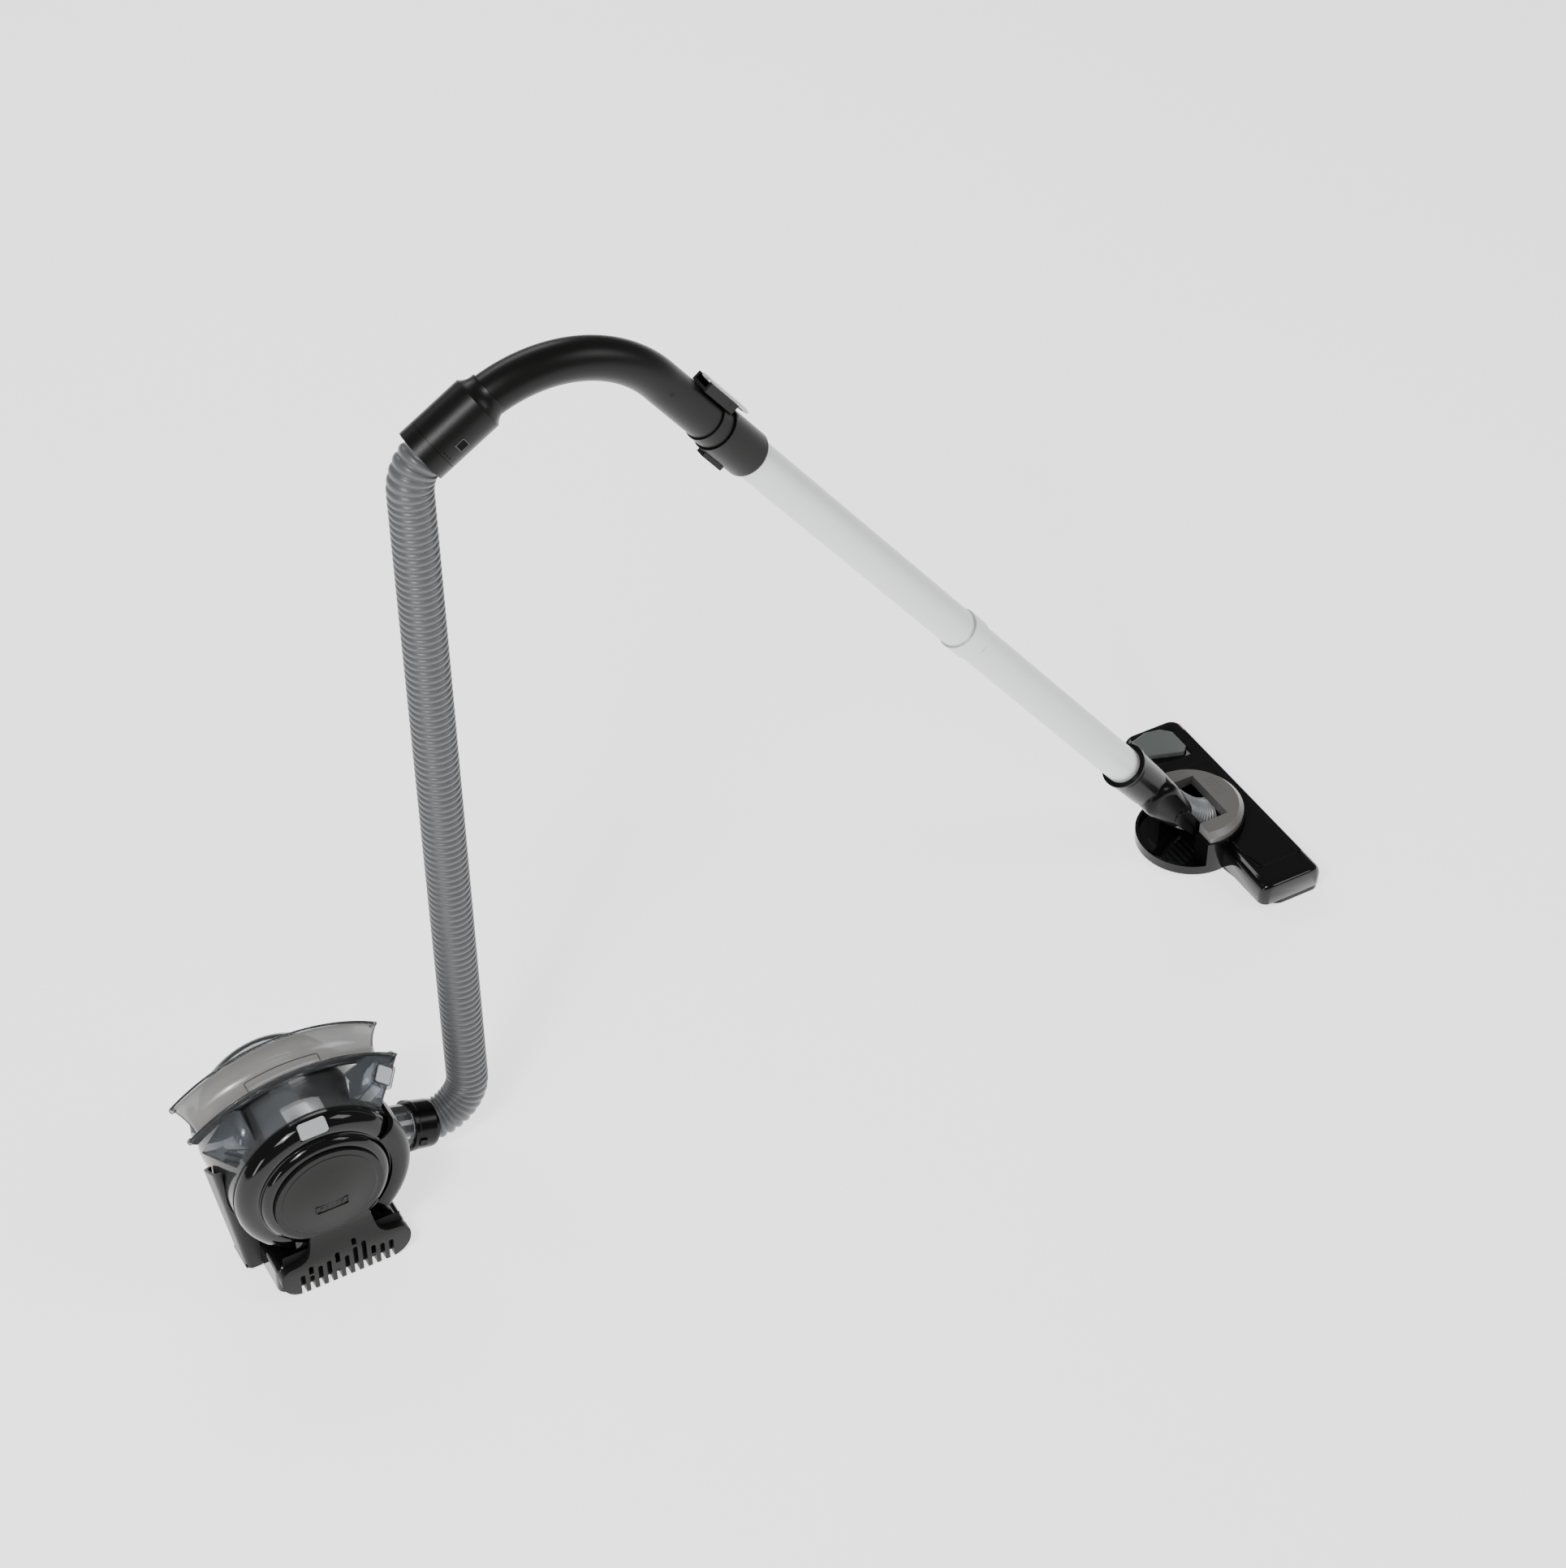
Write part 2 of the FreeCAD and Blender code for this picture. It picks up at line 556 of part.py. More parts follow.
DOOR_FRONT = RIM_BACK - 0.3


def crown(reach, foot, top):
    """Middle point of an arc centred on the axis, from its foot at a radius to its top."""
    rise = abs(top - foot)
    radius = (reach ** 2 + rise ** 2) / (2 * rise)
    drop = radius - math.sqrt(radius ** 2 - (reach / 2) ** 2)
    return reach / 2, top + math.copysign(drop, foot - top)


door_outline = [
    (RIM, DOOR_FRONT - 3.5), (50.0, -50.5, 60.6, -45.0), (0.0, -57.5, *crown(50.0, -50.5, -57.5)),
    (0.0, -55.1), (49.0, -48.3, *crown(49.0, -48.3, -55.1)), (59.5, -38.0, 56.2, -44.0),
    (59.5, -29.0),
    (61.1, -29.0), (61.1, DOOR_FRONT), (RIM, DOOR_FRONT),
]
door_shell = revolve_body("door_shell", door_outline, drum_frame)
door_knuckle = knuckle("door_knuckle", AXIS_Z - 8.7, AXIS_Z + 8.7, 33.4)
door_fused = fuse("door_fused", door_shell, *door_knuckle)
node(cut("dust_door_cut", door_fused, hinge_bore), "dust_door")
node(cylinder("hinge_pin", "Size.pin_radius", 36.0,
              Placement(Vector(HINGE.x, HINGE.y, AXIS_Z - 18), Rotation())), "door_hinge_pin")

# Filter: a cage with a fine mesh sleeve round it.
cage_ring = revolve_body("cage_ring", [(63.5, 64.2), (63.5, 67.5), (54.0, 67.5), (54.0, 64.2)],
                         drum_frame)
cage_cap = cylinder("cage_cap", 63.5, 3.0, along_drum(12))
bars = []
for k in range(8):
    turn = Placement(Vector(), Rotation(Vector(0, 0, 1), 45.0 * k))
    bars.append(box(f"cage_bar_{k}", (57.0, -1.5, 14.5), (3.4, 3.0, 50.2),
                    drum_frame.multiply(turn)))
node(fuse("filter_frame_all", cage_ring, cage_cap, *bars), "filter_frame")
node(revolve_body("mesh_body", [(62.4, 15.1), (62.4, 64.1), (61.6, 64.1), (61.6, 15.1)],
                  drum_frame), "filter_mesh")

# Motor behind the face, its bulkhead, and the fan that it drives.
bulkhead = cylinder("bulkhead_disc", DRUM - WALL - 0.2, 2.8, along_drum(70.2))
bulkhead_hole = cylinder("bulkhead_hole", 5.0, 8.0, along_drum(68))
node(cut("motor_bulkhead_cut", bulkhead, bulkhead_hole, release_well), "motor_bulkhead")
motor_can = cylinder("motor_can", 24.0, 16.6, along_drum(73.0))
motor_bore = cylinder("motor_bore", 2.55, 12.0, along_drum(73))
node(cut("motor_cut", motor_can, motor_bore), "motor")
node(cylinder("shaft_rod", 2.5, 32.0, along_drum(51)), "motor_shaft")
fan_disc = cylinder("fan_disc", 44.0, 2.0, along_drum(60.5))
fan_hub = cylinder("fan_hub", 9.0, 9.0, along_drum(53.5))
blades = []
for k in range(9):
    turn = Placement(Vector(), Rotation(Vector(0, 0, 1), 40.0 * k))
    blades.append(box(f"blade_{k}", (8.0, -0.8, 54.0), (34.0, 1.6, 7.0),
                      drum_frame.multiply(turn)))
fan_bore = cylinder("fan_bore", 2.52, 14.0, along_drum(52))
node(cut("impeller_cut", fuse("fan_all", fan_disc, fan_hub, *blades), fan_bore), "impeller")

# ---------------------------------------------------------------- hose and its fittings

COUPLER = size("coupler_length")
coupler_outline = [
    (23.0, 0.0), (23.0, 4.0), (22.2, 5.0), (21.6, COUPLER - 3), (20.8, COUPLER),
    (19.6, COUPLER), (19.6, 0.0),
]
coupler_body = revolve_body("coupler_body", coupler_outline, outlet_frame)
bayonet = box("bayonet", (-3, -24.2, 4.0), (6, 3, 7), outlet_frame)
node(fuse("hose_coupler_all", coupler_body, bayonet), "hose_coupler")

# Hose route in the plane y = 0, from inside the coupler to inside the cuff of the handle.
HOSE_ROUTE = [
    (107.5, 39.0), (131.6, 31.632), (155.5, 39.7), (170.2, 60.2), (166.5, 731.1),
    (177.0, 750.0), (195.233, 761.393),
]
hose_points = [(x, 0.0, z) for x, z in HOSE_ROUTE]


def route_radii(points):
    """For each inner point, the largest arc that both of its runs allow."""
    radii = []
    for before, here, after in zip(points, points[1:], points[2:]):
        back = Vector(*before) - Vector(*here)
        ahead = Vector(*after) - Vector(*here)
        half_turn = (math.pi - back.getAngle(ahead)) / 2
        radii.append(0.45 * min(back.Length, ahead.Length) / math.tan(half_turn))
    return radii


hose_radii = route_radii(hose_points)
hose_path = arc_path(hose_points, hose_radii)
hose_outer = sweep(hose_path, size("hose_radius"))
hose_inner = sweep(hose_path, size("hose_radius") - size("hose_wall"))
hose_solid = hose_outer.cut(hose_inner)
section = math.pi * (size("hose_radius") ** 2 - (size("hose_radius") - size("hose_wall")) ** 2)
print("hose radii", [round(r, 1) for r in hose_radii])
print("hose length", round(hose_path.Length, 1), "volume ratio",
      round(hose_solid.Volume / (section * hose_path.Length), 4))
node(feature("hose_tube", hose_solid), "hose")

RING = size("cuff_ring_length")
CUFF = size("cuff_radius")
CUFF_BORE = size("cuff_bore")
HOSE_DEPTH = 21.5
node(revolve_body("cuff_ring_body", [
    (CUFF, 0.0), (CUFF, RING), (CUFF_BORE - 0.3, RING), (CUFF_BORE - 0.3, HOSE_DEPTH + 2),
    (15.6, HOSE_DEPTH + 2), (15.6, HOSE_DEPTH), (18.3, HOSE_DEPTH), (18.3, 11.0),
    (CUFF_BORE, 0.0)], cuff_frame), "hose_cuff_ring")

# ---------------------------------------------------------------- handle

TUBE = size("tube_radius")
HANDLE_WALL = size("handle_wall")
GRIP_HEADING = math.radians(25.0)
GRIP_START = 58.0
grip_start = cuff_frame.multVec(Vector(0, 0, GRIP_START))
wand_origin = wand_frame.Base
wand_dir = wand_frame.Rotation.multVec(Vector(0, 0, 1))
grip_dir = Vector(math.cos(GRIP_HEADING), 0, math.sin(GRIP_HEADING))
# The grip's corner is where its first run meets the wand's axis produced backwards.
across_gap = wand_origin - grip_start
turn_cross = grip_dir.x * wand_dir.z - grip_dir.z * wand_dir.x
grip_reach = (across_gap.x * wand_dir.z - across_gap.z * wand_dir.x) / turn_cross
grip_corner = grip_start + grip_dir * grip_reach
grip_path = arc_path([grip_start, grip_corner, wand_origin], [size("handle_bend")])
grip_outer = feature("grip_outer", sweep(grip_path, TUBE))
grip_inner = feature("grip_inner", sweep(grip_path, TUBE - HANDLE_WALL))
cuff_outline = [
    (CUFF, RING + 0.3), (CUFF, 59.0), (TUBE + 0.5, 71.0, 19.6, 63.0), (0.0, 71.0),
    (0.0, RING + 0.3),
]
cuff_shell = revolve_body("cuff_shell", cuff_outline, cuff_frame)
cuff_cavity = revolve_body("cuff_cavity", [(CUFF_BORE, 0.0), (CUFF_BORE, 44.0), (15.0, 58.0),
                                           (15.0, 64.0), (0.0, 64.0), (0.0, 0.0)], cuff_frame)
end_band = cylinder("end_band", TUBE + 1.4, 14.0, moved(wand_frame, z=-14))
spigot = cylinder("handle_spigot", 15.8, 34.0, moved(wand_frame, z=-4))
spigot_hole = cylinder("handle_spigot_hole", 13.6, 60.0, moved(wand_frame, z=-25))
screw_place = Placement(Vector(381.5, -size("tube_radius") - 0.4, 744.6),
                        Rotation(Vector(1, 0, 0), -90))
screw_room = cylinder("screw_room", 2.3, 3.0, screw_place)
node(cut("handle_tube_cut", fuse("handle_all", grip_outer, cuff_shell, end_band, spigot),
         grip_inner, cuff_cavity, spigot_hole, screw_room), "handle_tube")
node(cylinder("handle_screw_body", 2.2, 2.2, moved(screw_place, z=0.5)), "handle_screw")

# Release lever: a rocker on a bracket over the end of the handle. In the wand's frame the
# outer side is local -X, so the bracket and lever are placed at negative X.
PIVOT_OUT, PIVOT_BACK = 22.6, -15.0
ears = [box(f"lever_ear_{i}", (-25.5, y, -44), (8.6, 2.6, 38), wand_frame)
        for i, y in enumerate((-10.4, 7.8))]
ear_seat = box("ear_seat", (-19.6, -10.4, -44), (2.6, 20.8, 38), wand_frame)
bracket_room = cylinder("bracket_room", TUBE + 0.05, 60.0, moved(wand_frame, z=-62))
band_room = cylinder("band_room", TUBE + 1.45, 15.0, moved(wand_frame, z=-14.5))
pin_place = across(moved(wand_frame, x=-PIVOT_OUT, y=-10.3, z=PIVOT_BACK))
lever_bore = cylinder("lever_bore", "Size.pin_radius + Size.fit_gap", 24.0,
                      moved(pin_place, z=-1.5))
node(cut("lever_bracket_cut", fuse("bracket_all", ear_seat, *ears), bracket_room, band_room,
         lever_bore), "lever_bracket")
lever_plate = box("lever_plate", (-27.4, -7.3, -52), (3.4, 14.6, 64), wand_frame)
lever_boss = cylinder("lever_boss", 2.6, 14.6, moved(pin_place, z=3.0))
lever_web = box("lever_web", (-25.0, -7.3, -17.2), (2.6, 14.6, 4.4), wand_frame)
lever_hook = box("lever_hook", (-25.0, -4.0, 8.4), (2.6, 8.0, 3.4), wand_frame)
spring_gap = box("spring_gap", (-25.5, -2.6, -19), (6.7, 5.2, 8), wand_frame)
node(cut("latch_lever_cut", fuse("lever_all", lever_plate, lever_boss, lever_web, lever_hook),
         lever_bore, spring_gap), "latch_lever")
node(cylinder("lever_pin", "Size.pin_radius", 20.6, pin_place), "lever_pin")
coils = []
for k in range(4):
    turn = doc.addObject("Part::Torus", f"spring_turn_{k}")
    turn.Radius1 = 2.15
    turn.Radius2 = 0.45
    turn.Placement = moved(pin_place, z=8.6 + 1.1 * k)
    coils.append(turn)
node(group("lever_spring_group", *coils), "lever_spring")

# ---------------------------------------------------------------- wand tubes

TUBE_BORE = TUBE - size("tube_wall")
JOINT = size("joint_start")
JOINT_LENGTH = size("joint_length")
node(revolve_body("collar_body", [(20.6, 0.6), (20.6, size("collar_length") - 1.5),
                                  (20.0, size("collar_length")), (TUBE + 0.1, size("collar_length")),
                                  (TUBE + 0.1, 7.0), (16.2, 7.0), (16.2, 0.6)], wand_frame),
     "tube_collar")
clip_block = box("clip_block", (20.0, -4.5, 8), (4.0, 9.0, 26), wand_frame)
clip_room = cylinder("clip_room", 20.65, 40.0, moved(wand_frame, z=2))
node(cut("collar_clip_cut", clip_block, clip_room), "collar_clip")
node(revolve_body("upper_tube_body", [(TUBE, 8.0), (TUBE, JOINT + JOINT_LENGTH - 3),
                                      (TUBE_BORE, JOINT + JOINT_LENGTH - 3), (TUBE_BORE, 8.0)],
                  wand_frame), "upper_tube")
SOCKET_BORE = TUBE + 0.1
node(revolve_body("lower_tube_body", [
    (SOCKET_BORE + size("tube_wall"), JOINT), (SOCKET_BORE + size("tube_wall"), JOINT + JOINT_LENGTH),
    (TUBE, JOINT + JOINT_LENGTH + 4), (TUBE, size("wand_length")), (TUBE_BORE, size("wand_length")),
    (TUBE_BORE, JOINT + JOINT_LENGTH + 2), (SOCKET_BORE, JOINT + JOINT_LENGTH - 2),
    (SOCKET_BORE, JOINT)], wand_frame), "lower_tube")

# ---------------------------------------------------------------- neck

SOCKET = size("socket_start")
SOCKET_END = size("socket_end")
JOURNAL = 16.0
node(revolve_body("socket_body", [
    (22.4, SOCKET), (22.4, SOCKET + 3), (21.4, SOCKET + 6), (20.4, SOCKET_END), (JOURNAL, SOCKET_END),
    (JOURNAL, SOCKET_END + 20), (13.5, SOCKET_END + 20), (13.5, size("wand_length") + 1),
    (TUBE + 0.1, size("wand_length") + 1), (TUBE + 0.1, SOCKET)], wand_frame), "neck_socket")
PIVOT = size("pivot_along")
PLATE_HALF = 17.0
PLATE_IN, PLATE_OUT = 22.4, 26.6
barrel = cylinder("yoke_barrel", 22.8, 30.0, moved(wand_frame, z=SOCKET_END + 0.6))
bridge = box("yoke_bridge", (-PLATE_HALF, -PLATE_OUT, SOCKET_END + 6),
             (2 * PLATE_HALF, 2 * PLATE_OUT, 22), wand_frame)
yoke_parts = [barrel, bridge]
pivot_place = moved(wand_frame, z=PIVOT)
for side, low in (("far", PLATE_IN), ("near", -PLATE_OUT)):
    yoke_parts.append(box(f"yoke_plate_{side}", (-PLATE_HALF, low, SOCKET_END + 6),
                          (2 * PLATE_HALF, PLATE_OUT - PLATE_IN, PIVOT - SOCKET_END - 6),
                          wand_frame))
    yoke_parts.append(cylinder(f"yoke_end_{side}", PLATE_HALF, PLATE_OUT - PLATE_IN,
                               across(moved(pivot_place, y=low))))
barrel_bore = cylinder("barrel_bore", JOURNAL + 0.3, 60.0, moved(wand_frame, z=SOCKET_END))
pivot_bore = cylinder("pivot_bore", 3.06, 70.0, across(moved(pivot_place, y=-35)))
node(cut("neck_yoke_cut", fuse("yoke_all", *yoke_parts), barrel_bore, pivot_bore), "neck_yoke")
yoke_pins = [cylinder(f"yoke_pin_{side}", 3.0, 12.0, across(moved(pivot_place, y=low)))
             for side, low in (("far", 21.5), ("near", -33.5))]
node(group("yoke_pins_group", *yoke_pins), "yoke_pins")

# ---------------------------------------------------------------- floor head

TURRET = Vector(size("turret_x"), 0, 0)
TURRET_R = size("turret_radius")
NOTCH = size("notch_half")
HEAD_Y = size("head_centre_y")
HEAD_HALF = size("head_half_length")
FRONT_X = size("head_front")
REAR_X = size("head_rear")
CAP_TOP = size("cap_top")
LOW, HIGH = size("head_low"), size("head_high")


def upright(x, y, z):
    return Placement(Vector(x, y, z), Rotation())


turret_floor = cylinder("turret_floor", "Size.turret_radius", 3.5, upright(TURRET.x, 0, 3.0))
turret_wall = cylinder("turret_wall", "Size.turret_radius", 35.0, upright(TURRET.x, 0, 5.0))
open_rear = box("open_rear", (TURRET.x - 60, -60, 0), (46, 120, 60))
notch = box("turret_notch", (TURRET.x - 60, -NOTCH, 6.5), (82, "Size.notch_half * 2", 60))
DUCT_Z = 25.0
duct_passage = cylinder("duct_passage", 14.2, 60.0,
                        Placement(Vector(TURRET.x + 20, 0, DUCT_Z),
                                  Rotation(Vector(0, 1, 0), 90)))
turret_block = cut("turret_block", turret_wall, open_rear, notch, duct_passage)
rim_outer = cylinder("rim_outer", "Size.turret_radius", 8.0, upright(TURRET.x, 0, 5.0))
rim_inner = cylinder("rim_inner", TURRET_R - 3, 20.0, upright(TURRET.x, 0, 0))
rim_front = box("rim_front", (TURRET.x - 10, -60, 0), (80, 120, 30))
turret_rim = cut("turret_rim", rim_outer, rim_inner, rim_front)
turret_pin_bore = cylinder("turret_pin_bore", 3.05, 70.0, across(moved(pivot_place, y=-35)))
node(cut("turret_base_cut", fuse("turret_all", turret_floor, turret_block, turret_rim),
         turret_pin_bore), "turret_base")
cap_disc = cylinder("cap_disc", TURRET_R - 1.5, CAP_TOP - 40.3, upright(TURRET.x, 0, 40.3))
cap_edge = doc.addObject("Part::Chamfer", "cap_edge")
cap_edge.Base = cap_disc
doc.recompute()
cap_edge.Edges = [(i, 5.0, 5.0) for i, e in enumerate(cap_disc.Shape.Edges, start=1)
                  if e.CenterOfMass.z > CAP_TOP - 0.1]
cap_rear = box("cap_rear", (TURRET.x - 60, -60, 30), (49, 120, 40))
cap_notch = box("cap_notch", (TURRET.x - 60, -NOTCH - 1, 30), (81, "Size.notch_half * 2 + 2", 40))
node(cut("turret_cap_cut", cap_edge, cap_rear, cap_notch), "turret_cap")

LEFT_Y, RIGHT_Y = HEAD_Y - HEAD_HALF, HEAD_Y + HEAD_HALF


def head_outline(inset):
    """The head's plan: a straight front edge and a rear edge that draws in at the ends."""
    low, high = LEFT_Y + inset, RIGHT_Y - inset
    front, rear = FRONT_X - inset, REAR_X + inset
    return [
        (front - 9, low), (front, low + 9, front - 2.6, low + 2.6), (front, high - 9),
        (front - 9, high, front - 2.6, high - 2.6), (rear + 24, high),
        (rear + 9, high - 12, rear + 14, high - 4), (rear, HEAD_Y + 52), (rear, HEAD_Y - 52),
        (rear + 9, low + 12), (rear + 24, low, rear + 14, low + 4),
    ]


turret_room = cylinder("turret_room", TURRET_R + 0.3, 60.0, upright(TURRET.x, 0, 0))
head_pad = pad_body("head_pad", head_outline(0.0), upright(0, 0, LOW), "Size.head_high - Size.head_low")
head_soft = fillet("head_soft", head_pad, 6.0, lambda c, e: c.z > HIGH - 0.1)
suction_room = box("suction_room", (993.8, HEAD_Y - 101, 0), (16.4, 202, 26))
suction_mouth = box("suction_mouth", (985, -13, 11.5), (14, 26, 14))
PEDAL_X, PEDAL_Y, PEDAL_Z = 968.5, HEAD_Y + 93.0, 29.3
pedal_well = box("pedal_well", (PEDAL_X - 27.5, PEDAL_Y - 23, 22.8), (52, 46, 30))
pedal_pin_bore = cylinder("pedal_pin_bore", "Size.pin_radius + Size.fit_gap", 52.0,
                          Placement(Vector(PEDAL_X, PEDAL_Y - 26, PEDAL_Z),
                                    Rotation(Vector(1, 0, 0), -90)))
WHEEL_R = size("wheel_radius")
WHEEL_X = 958.0
WHEELS = {"near": HEAD_Y - 84.0, "far": HEAD_Y + 84.0}
wheel_wells = [box(f"wheel_well_{side}", (WHEEL_X - 8.5, y - 5, 0), (17, 10, 16))
               for side, y in WHEELS.items()]
axle_bores = [cylinder(f"axle_bore_{side}", "Size.pin_radius + Size.fit_gap", 18.0,
                       Placement(Vector(WHEEL_X, y - 9, WHEEL_R), Rotation(Vector(1, 0, 0), -90)))
              for side, y in WHEELS.items()]
node(cut("head_top_cut", head_soft, turret_room, suction_room, suction_mouth, pedal_well,
         pedal_pin_bore, *wheel_wells, *axle_bores), "head_top")

panel_pad = pad_body("panel_pad", [
    (1003, HEAD_Y - 97), (1006, HEAD_Y - 94, 1005.1, HEAD_Y - 96.1), (1006, HEAD_Y + 101),
    (1003, HEAD_Y + 104, 1005.1, HEAD_Y + 103.1), (961, HEAD_Y + 104), (952, HEAD_Y + 60),
    (952, HEAD_Y - 60), (961, HEAD_Y - 97)], upright(0, 0, HIGH), 0.8)
node(cut("head_panel_cut", panel_pad, cylinder("panel_turret", TURRET_R + 1.0, 60.0,
                                               upright(TURRET.x, 0, 0)), pedal_well),
     "head_panel")
sole_pad = pad_body("sole_pad", head_outline(1.0), upright(0, 0, 2.0), "Size.head_low - 2")
suction_slot = box("suction_slot", (995.5, HEAD_Y - 99, 0), (7, 198, 20))
brush_slot = box("brush_slot", (1004.2, HEAD_Y - 103.5, 0), (5.6, 207, 20))
node(cut("head_sole_cut", sole_pad, turret_room, suction_slot, brush_slot, *wheel_wells,
         *axle_bores), "head_sole")

# Pedal: a rocker in the head's far rear corner.
pedal_outline = [
    (947, HEAD_Y + 86), (985, HEAD_Y + 73), (991, HEAD_Y + 79), (991, HEAD_Y + 103),
    (982, HEAD_Y + 112), (966, HEAD_Y + 115), (947, HEAD_Y + 110),
]
pedal_pad = pad_body("pedal_pad", pedal_outline, upright(0, 0, 26.6), 9.2)
pedal_round = fillet("pedal_round", pedal_pad, 3.0,
                     lambda c, e: abs(e.tangentAt(e.FirstParameter).z) > 0.9)
pedal_soft = fillet("pedal_soft", pedal_round, 1.5, lambda c, e: c.z > 35.7)
node(cut("pedal_cut", pedal_soft, pedal_pin_bore), "pedal")
node(cylinder("pedal_pin_body", "Size.pin_radius", 51.0,
              Placement(Vector(PEDAL_X, PEDAL_Y - 25.5, PEDAL_Z),
                        Rotation(Vector(1, 0, 0), -90))), "pedal_pin")

# Brush strip that the pedal lowers, and the fixed lint strips.
node(box("brush_carrier_body", (1004.8, HEAD_Y - 100, 9.0), (4.4, 200, 4.0)), "brush_carrier")
node(box("bristle_body", (1005.8, HEAD_Y - 98, 4.0), (2.4, 196, 5.0)), "bristle_strip")
lint = [box(f"lint_{i}", (x, HEAD_Y - 95, 0), (width, 190, 2.0))
        for i, (x, width) in enumerate(((989.5, 4.0), (1010.0, 1.8)))]
node(group("lint_group", *lint), "lint_strips")

# Wheels at the rear of the head, and their axles.
for side, y in WHEELS.items():
    wheel = revolve_body(f"wheel_{side}_body", [
        (WHEEL_R - 0.8, -3.0), (WHEEL_R, -2.2), (WHEEL_R, 2.2), (WHEEL_R - 0.8, 3.0),
        (1.56, 3.0), (1.56, -3.0)],
        Placement(Vector(WHEEL_X, y, WHEEL_R), Rotation(Vector(1, 0, 0), -90)))
    node(wheel, f"wheel_{side}")
axles = [cylinder(f"axle_{side}", "Size.pin_radius", 17.0,
                  Placement(Vector(WHEEL_X, y - 8.5, WHEEL_R), Rotation(Vector(1, 0, 0), -90)))
         for side, y in WHEELS.items()]
node(group("axles_group", *axles), "wheel_axles")

# Flexible duct from the neck through the yoke to the turret.
duct_start = wand_frame.multVec(Vector(0, 0, SOCKET_END + 32.5))
corner_along = (wand_origin.z - DUCT_Z) / -wand_dir.z
duct_corner = wand_origin + wand_dir * corner_along
duct_path = arc_path([duct_start, duct_corner, Vector(TURRET.x + 22.4, 0, DUCT_Z)], [38.0])
duct_solid = sweep(duct_path, 13.9).cut(sweep(duct_path, 12.7))
node(feature("duct_tube", duct_solid), "flexible_duct")

# ---------------------------------------------------------------- checks and export

doc.recompute()
bad = [o.Name for o in doc.Objects if "Invalid" in o.State or "Error" in o.State]
if bad:
    raise RuntimeError("objects in error: " + ", ".join(bad))
os.makedirs("parts", exist_ok=True)
for old in os.listdir("parts"):
    os.remove(os.path.join("parts", old))
for label, obj in NODES.items():
    shape = obj.Shape
    if shape.isNull() or not shape.isValid() or shape.Volume < 1:
        raise RuntimeError(label + " has no valid shape")
    shape.exportStep(os.path.join("parts", label + ".step"))
    print(f"{label:20s} solids {len(shape.Solids)} volume {shape.Volume:10.1f}")
print(len(NODES), "nodes")
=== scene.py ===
import math
import bmesh
import bpy
from mathutils import Euler, Matrix, Vector


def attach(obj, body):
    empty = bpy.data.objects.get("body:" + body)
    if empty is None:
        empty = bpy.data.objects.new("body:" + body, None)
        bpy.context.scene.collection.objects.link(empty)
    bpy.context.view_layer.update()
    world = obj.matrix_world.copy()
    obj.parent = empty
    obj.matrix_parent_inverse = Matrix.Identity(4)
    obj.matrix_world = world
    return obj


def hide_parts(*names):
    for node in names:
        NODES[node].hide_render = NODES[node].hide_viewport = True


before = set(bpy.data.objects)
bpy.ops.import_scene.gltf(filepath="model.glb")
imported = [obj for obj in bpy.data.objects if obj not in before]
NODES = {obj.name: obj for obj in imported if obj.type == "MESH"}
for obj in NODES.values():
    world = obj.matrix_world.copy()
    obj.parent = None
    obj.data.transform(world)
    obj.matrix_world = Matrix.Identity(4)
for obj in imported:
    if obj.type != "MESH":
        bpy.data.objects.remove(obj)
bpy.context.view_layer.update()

# ------------------------------------------------------------------ camera

camera_data = bpy.data.cameras.new("photo_camera")
camera_data.lens = 80.26
camera_data.sensor_width = 36.0
camera_data.clip_end = 50
camera = bpy.data.objects.new("photo_camera", camera_data)
camera.location = (-0.6112, -1.9600, 2.3405)
camera.rotation_euler = Euler((math.radians(47.434), 0, math.radians(-29.3)))
bpy.context.scene.collection.objects.link(camera)
bpy.context.scene.camera = camera

# ------------------------------------------------------------------ hose line

MM = 0.001
HOSE_ROUTE = [
    (107.5, 39.0), (131.6, 31.632), (155.5, 39.7), (170.2, 60.2), (166.5, 731.1),
    (177.0, 750.0), (195.233, 761.393),
]


def nurbs_line(name, route):
    """A clamped quadratic NURBS line in the plane y = 0 through the given control points."""
    curve = bpy.data.curves.new(name, "CURVE")
    curve.dimensions = "3D"
    spline = curve.splines.new("NURBS")
    spline.points.add(len(route) - 1)
    for point, (x, z) in zip(spline.points, route):
        point.co = (x * MM, 0, z * MM, 1)
    spline.order_u = 3
    spline.use_endpoint_u = True
    spline.resolution_u = 24
    return curve


def line_points(curve):
    """Points along a curve with no bevel, as vectors."""
    carrier = bpy.data.objects.new("line_carrier", curve)
    bpy.context.scene.collection.objects.link(carrier)
    bpy.context.view_layer.update()
    mesh = bpy.data.meshes.new_from_object(carrier)
    points = [v.co.copy() for v in mesh.vertices]
    bpy.data.objects.remove(carrier)
    bpy.data.meshes.remove(mesh)
    return points


def resample(points, step):
    """Evenly spaced points along a polyline, with both ends kept."""
    lengths = [0.0]
    for a, b in zip(points, points[1:]):
        lengths.append(lengths[-1] + (b - a).length)
    total = lengths[-1]
    count = max(2, round(total / step) + 1)
    spaced = []
    k = 0
    for i in range(count):
        want = total * i / (count - 1)
        while k < len(points) - 2 and lengths[k + 1] < want:
            k += 1
        span = lengths[k + 1] - lengths[k] or 1.0
        spaced.append(points[k].lerp(points[k + 1], (want - lengths[k]) / span))
    return spaced, total


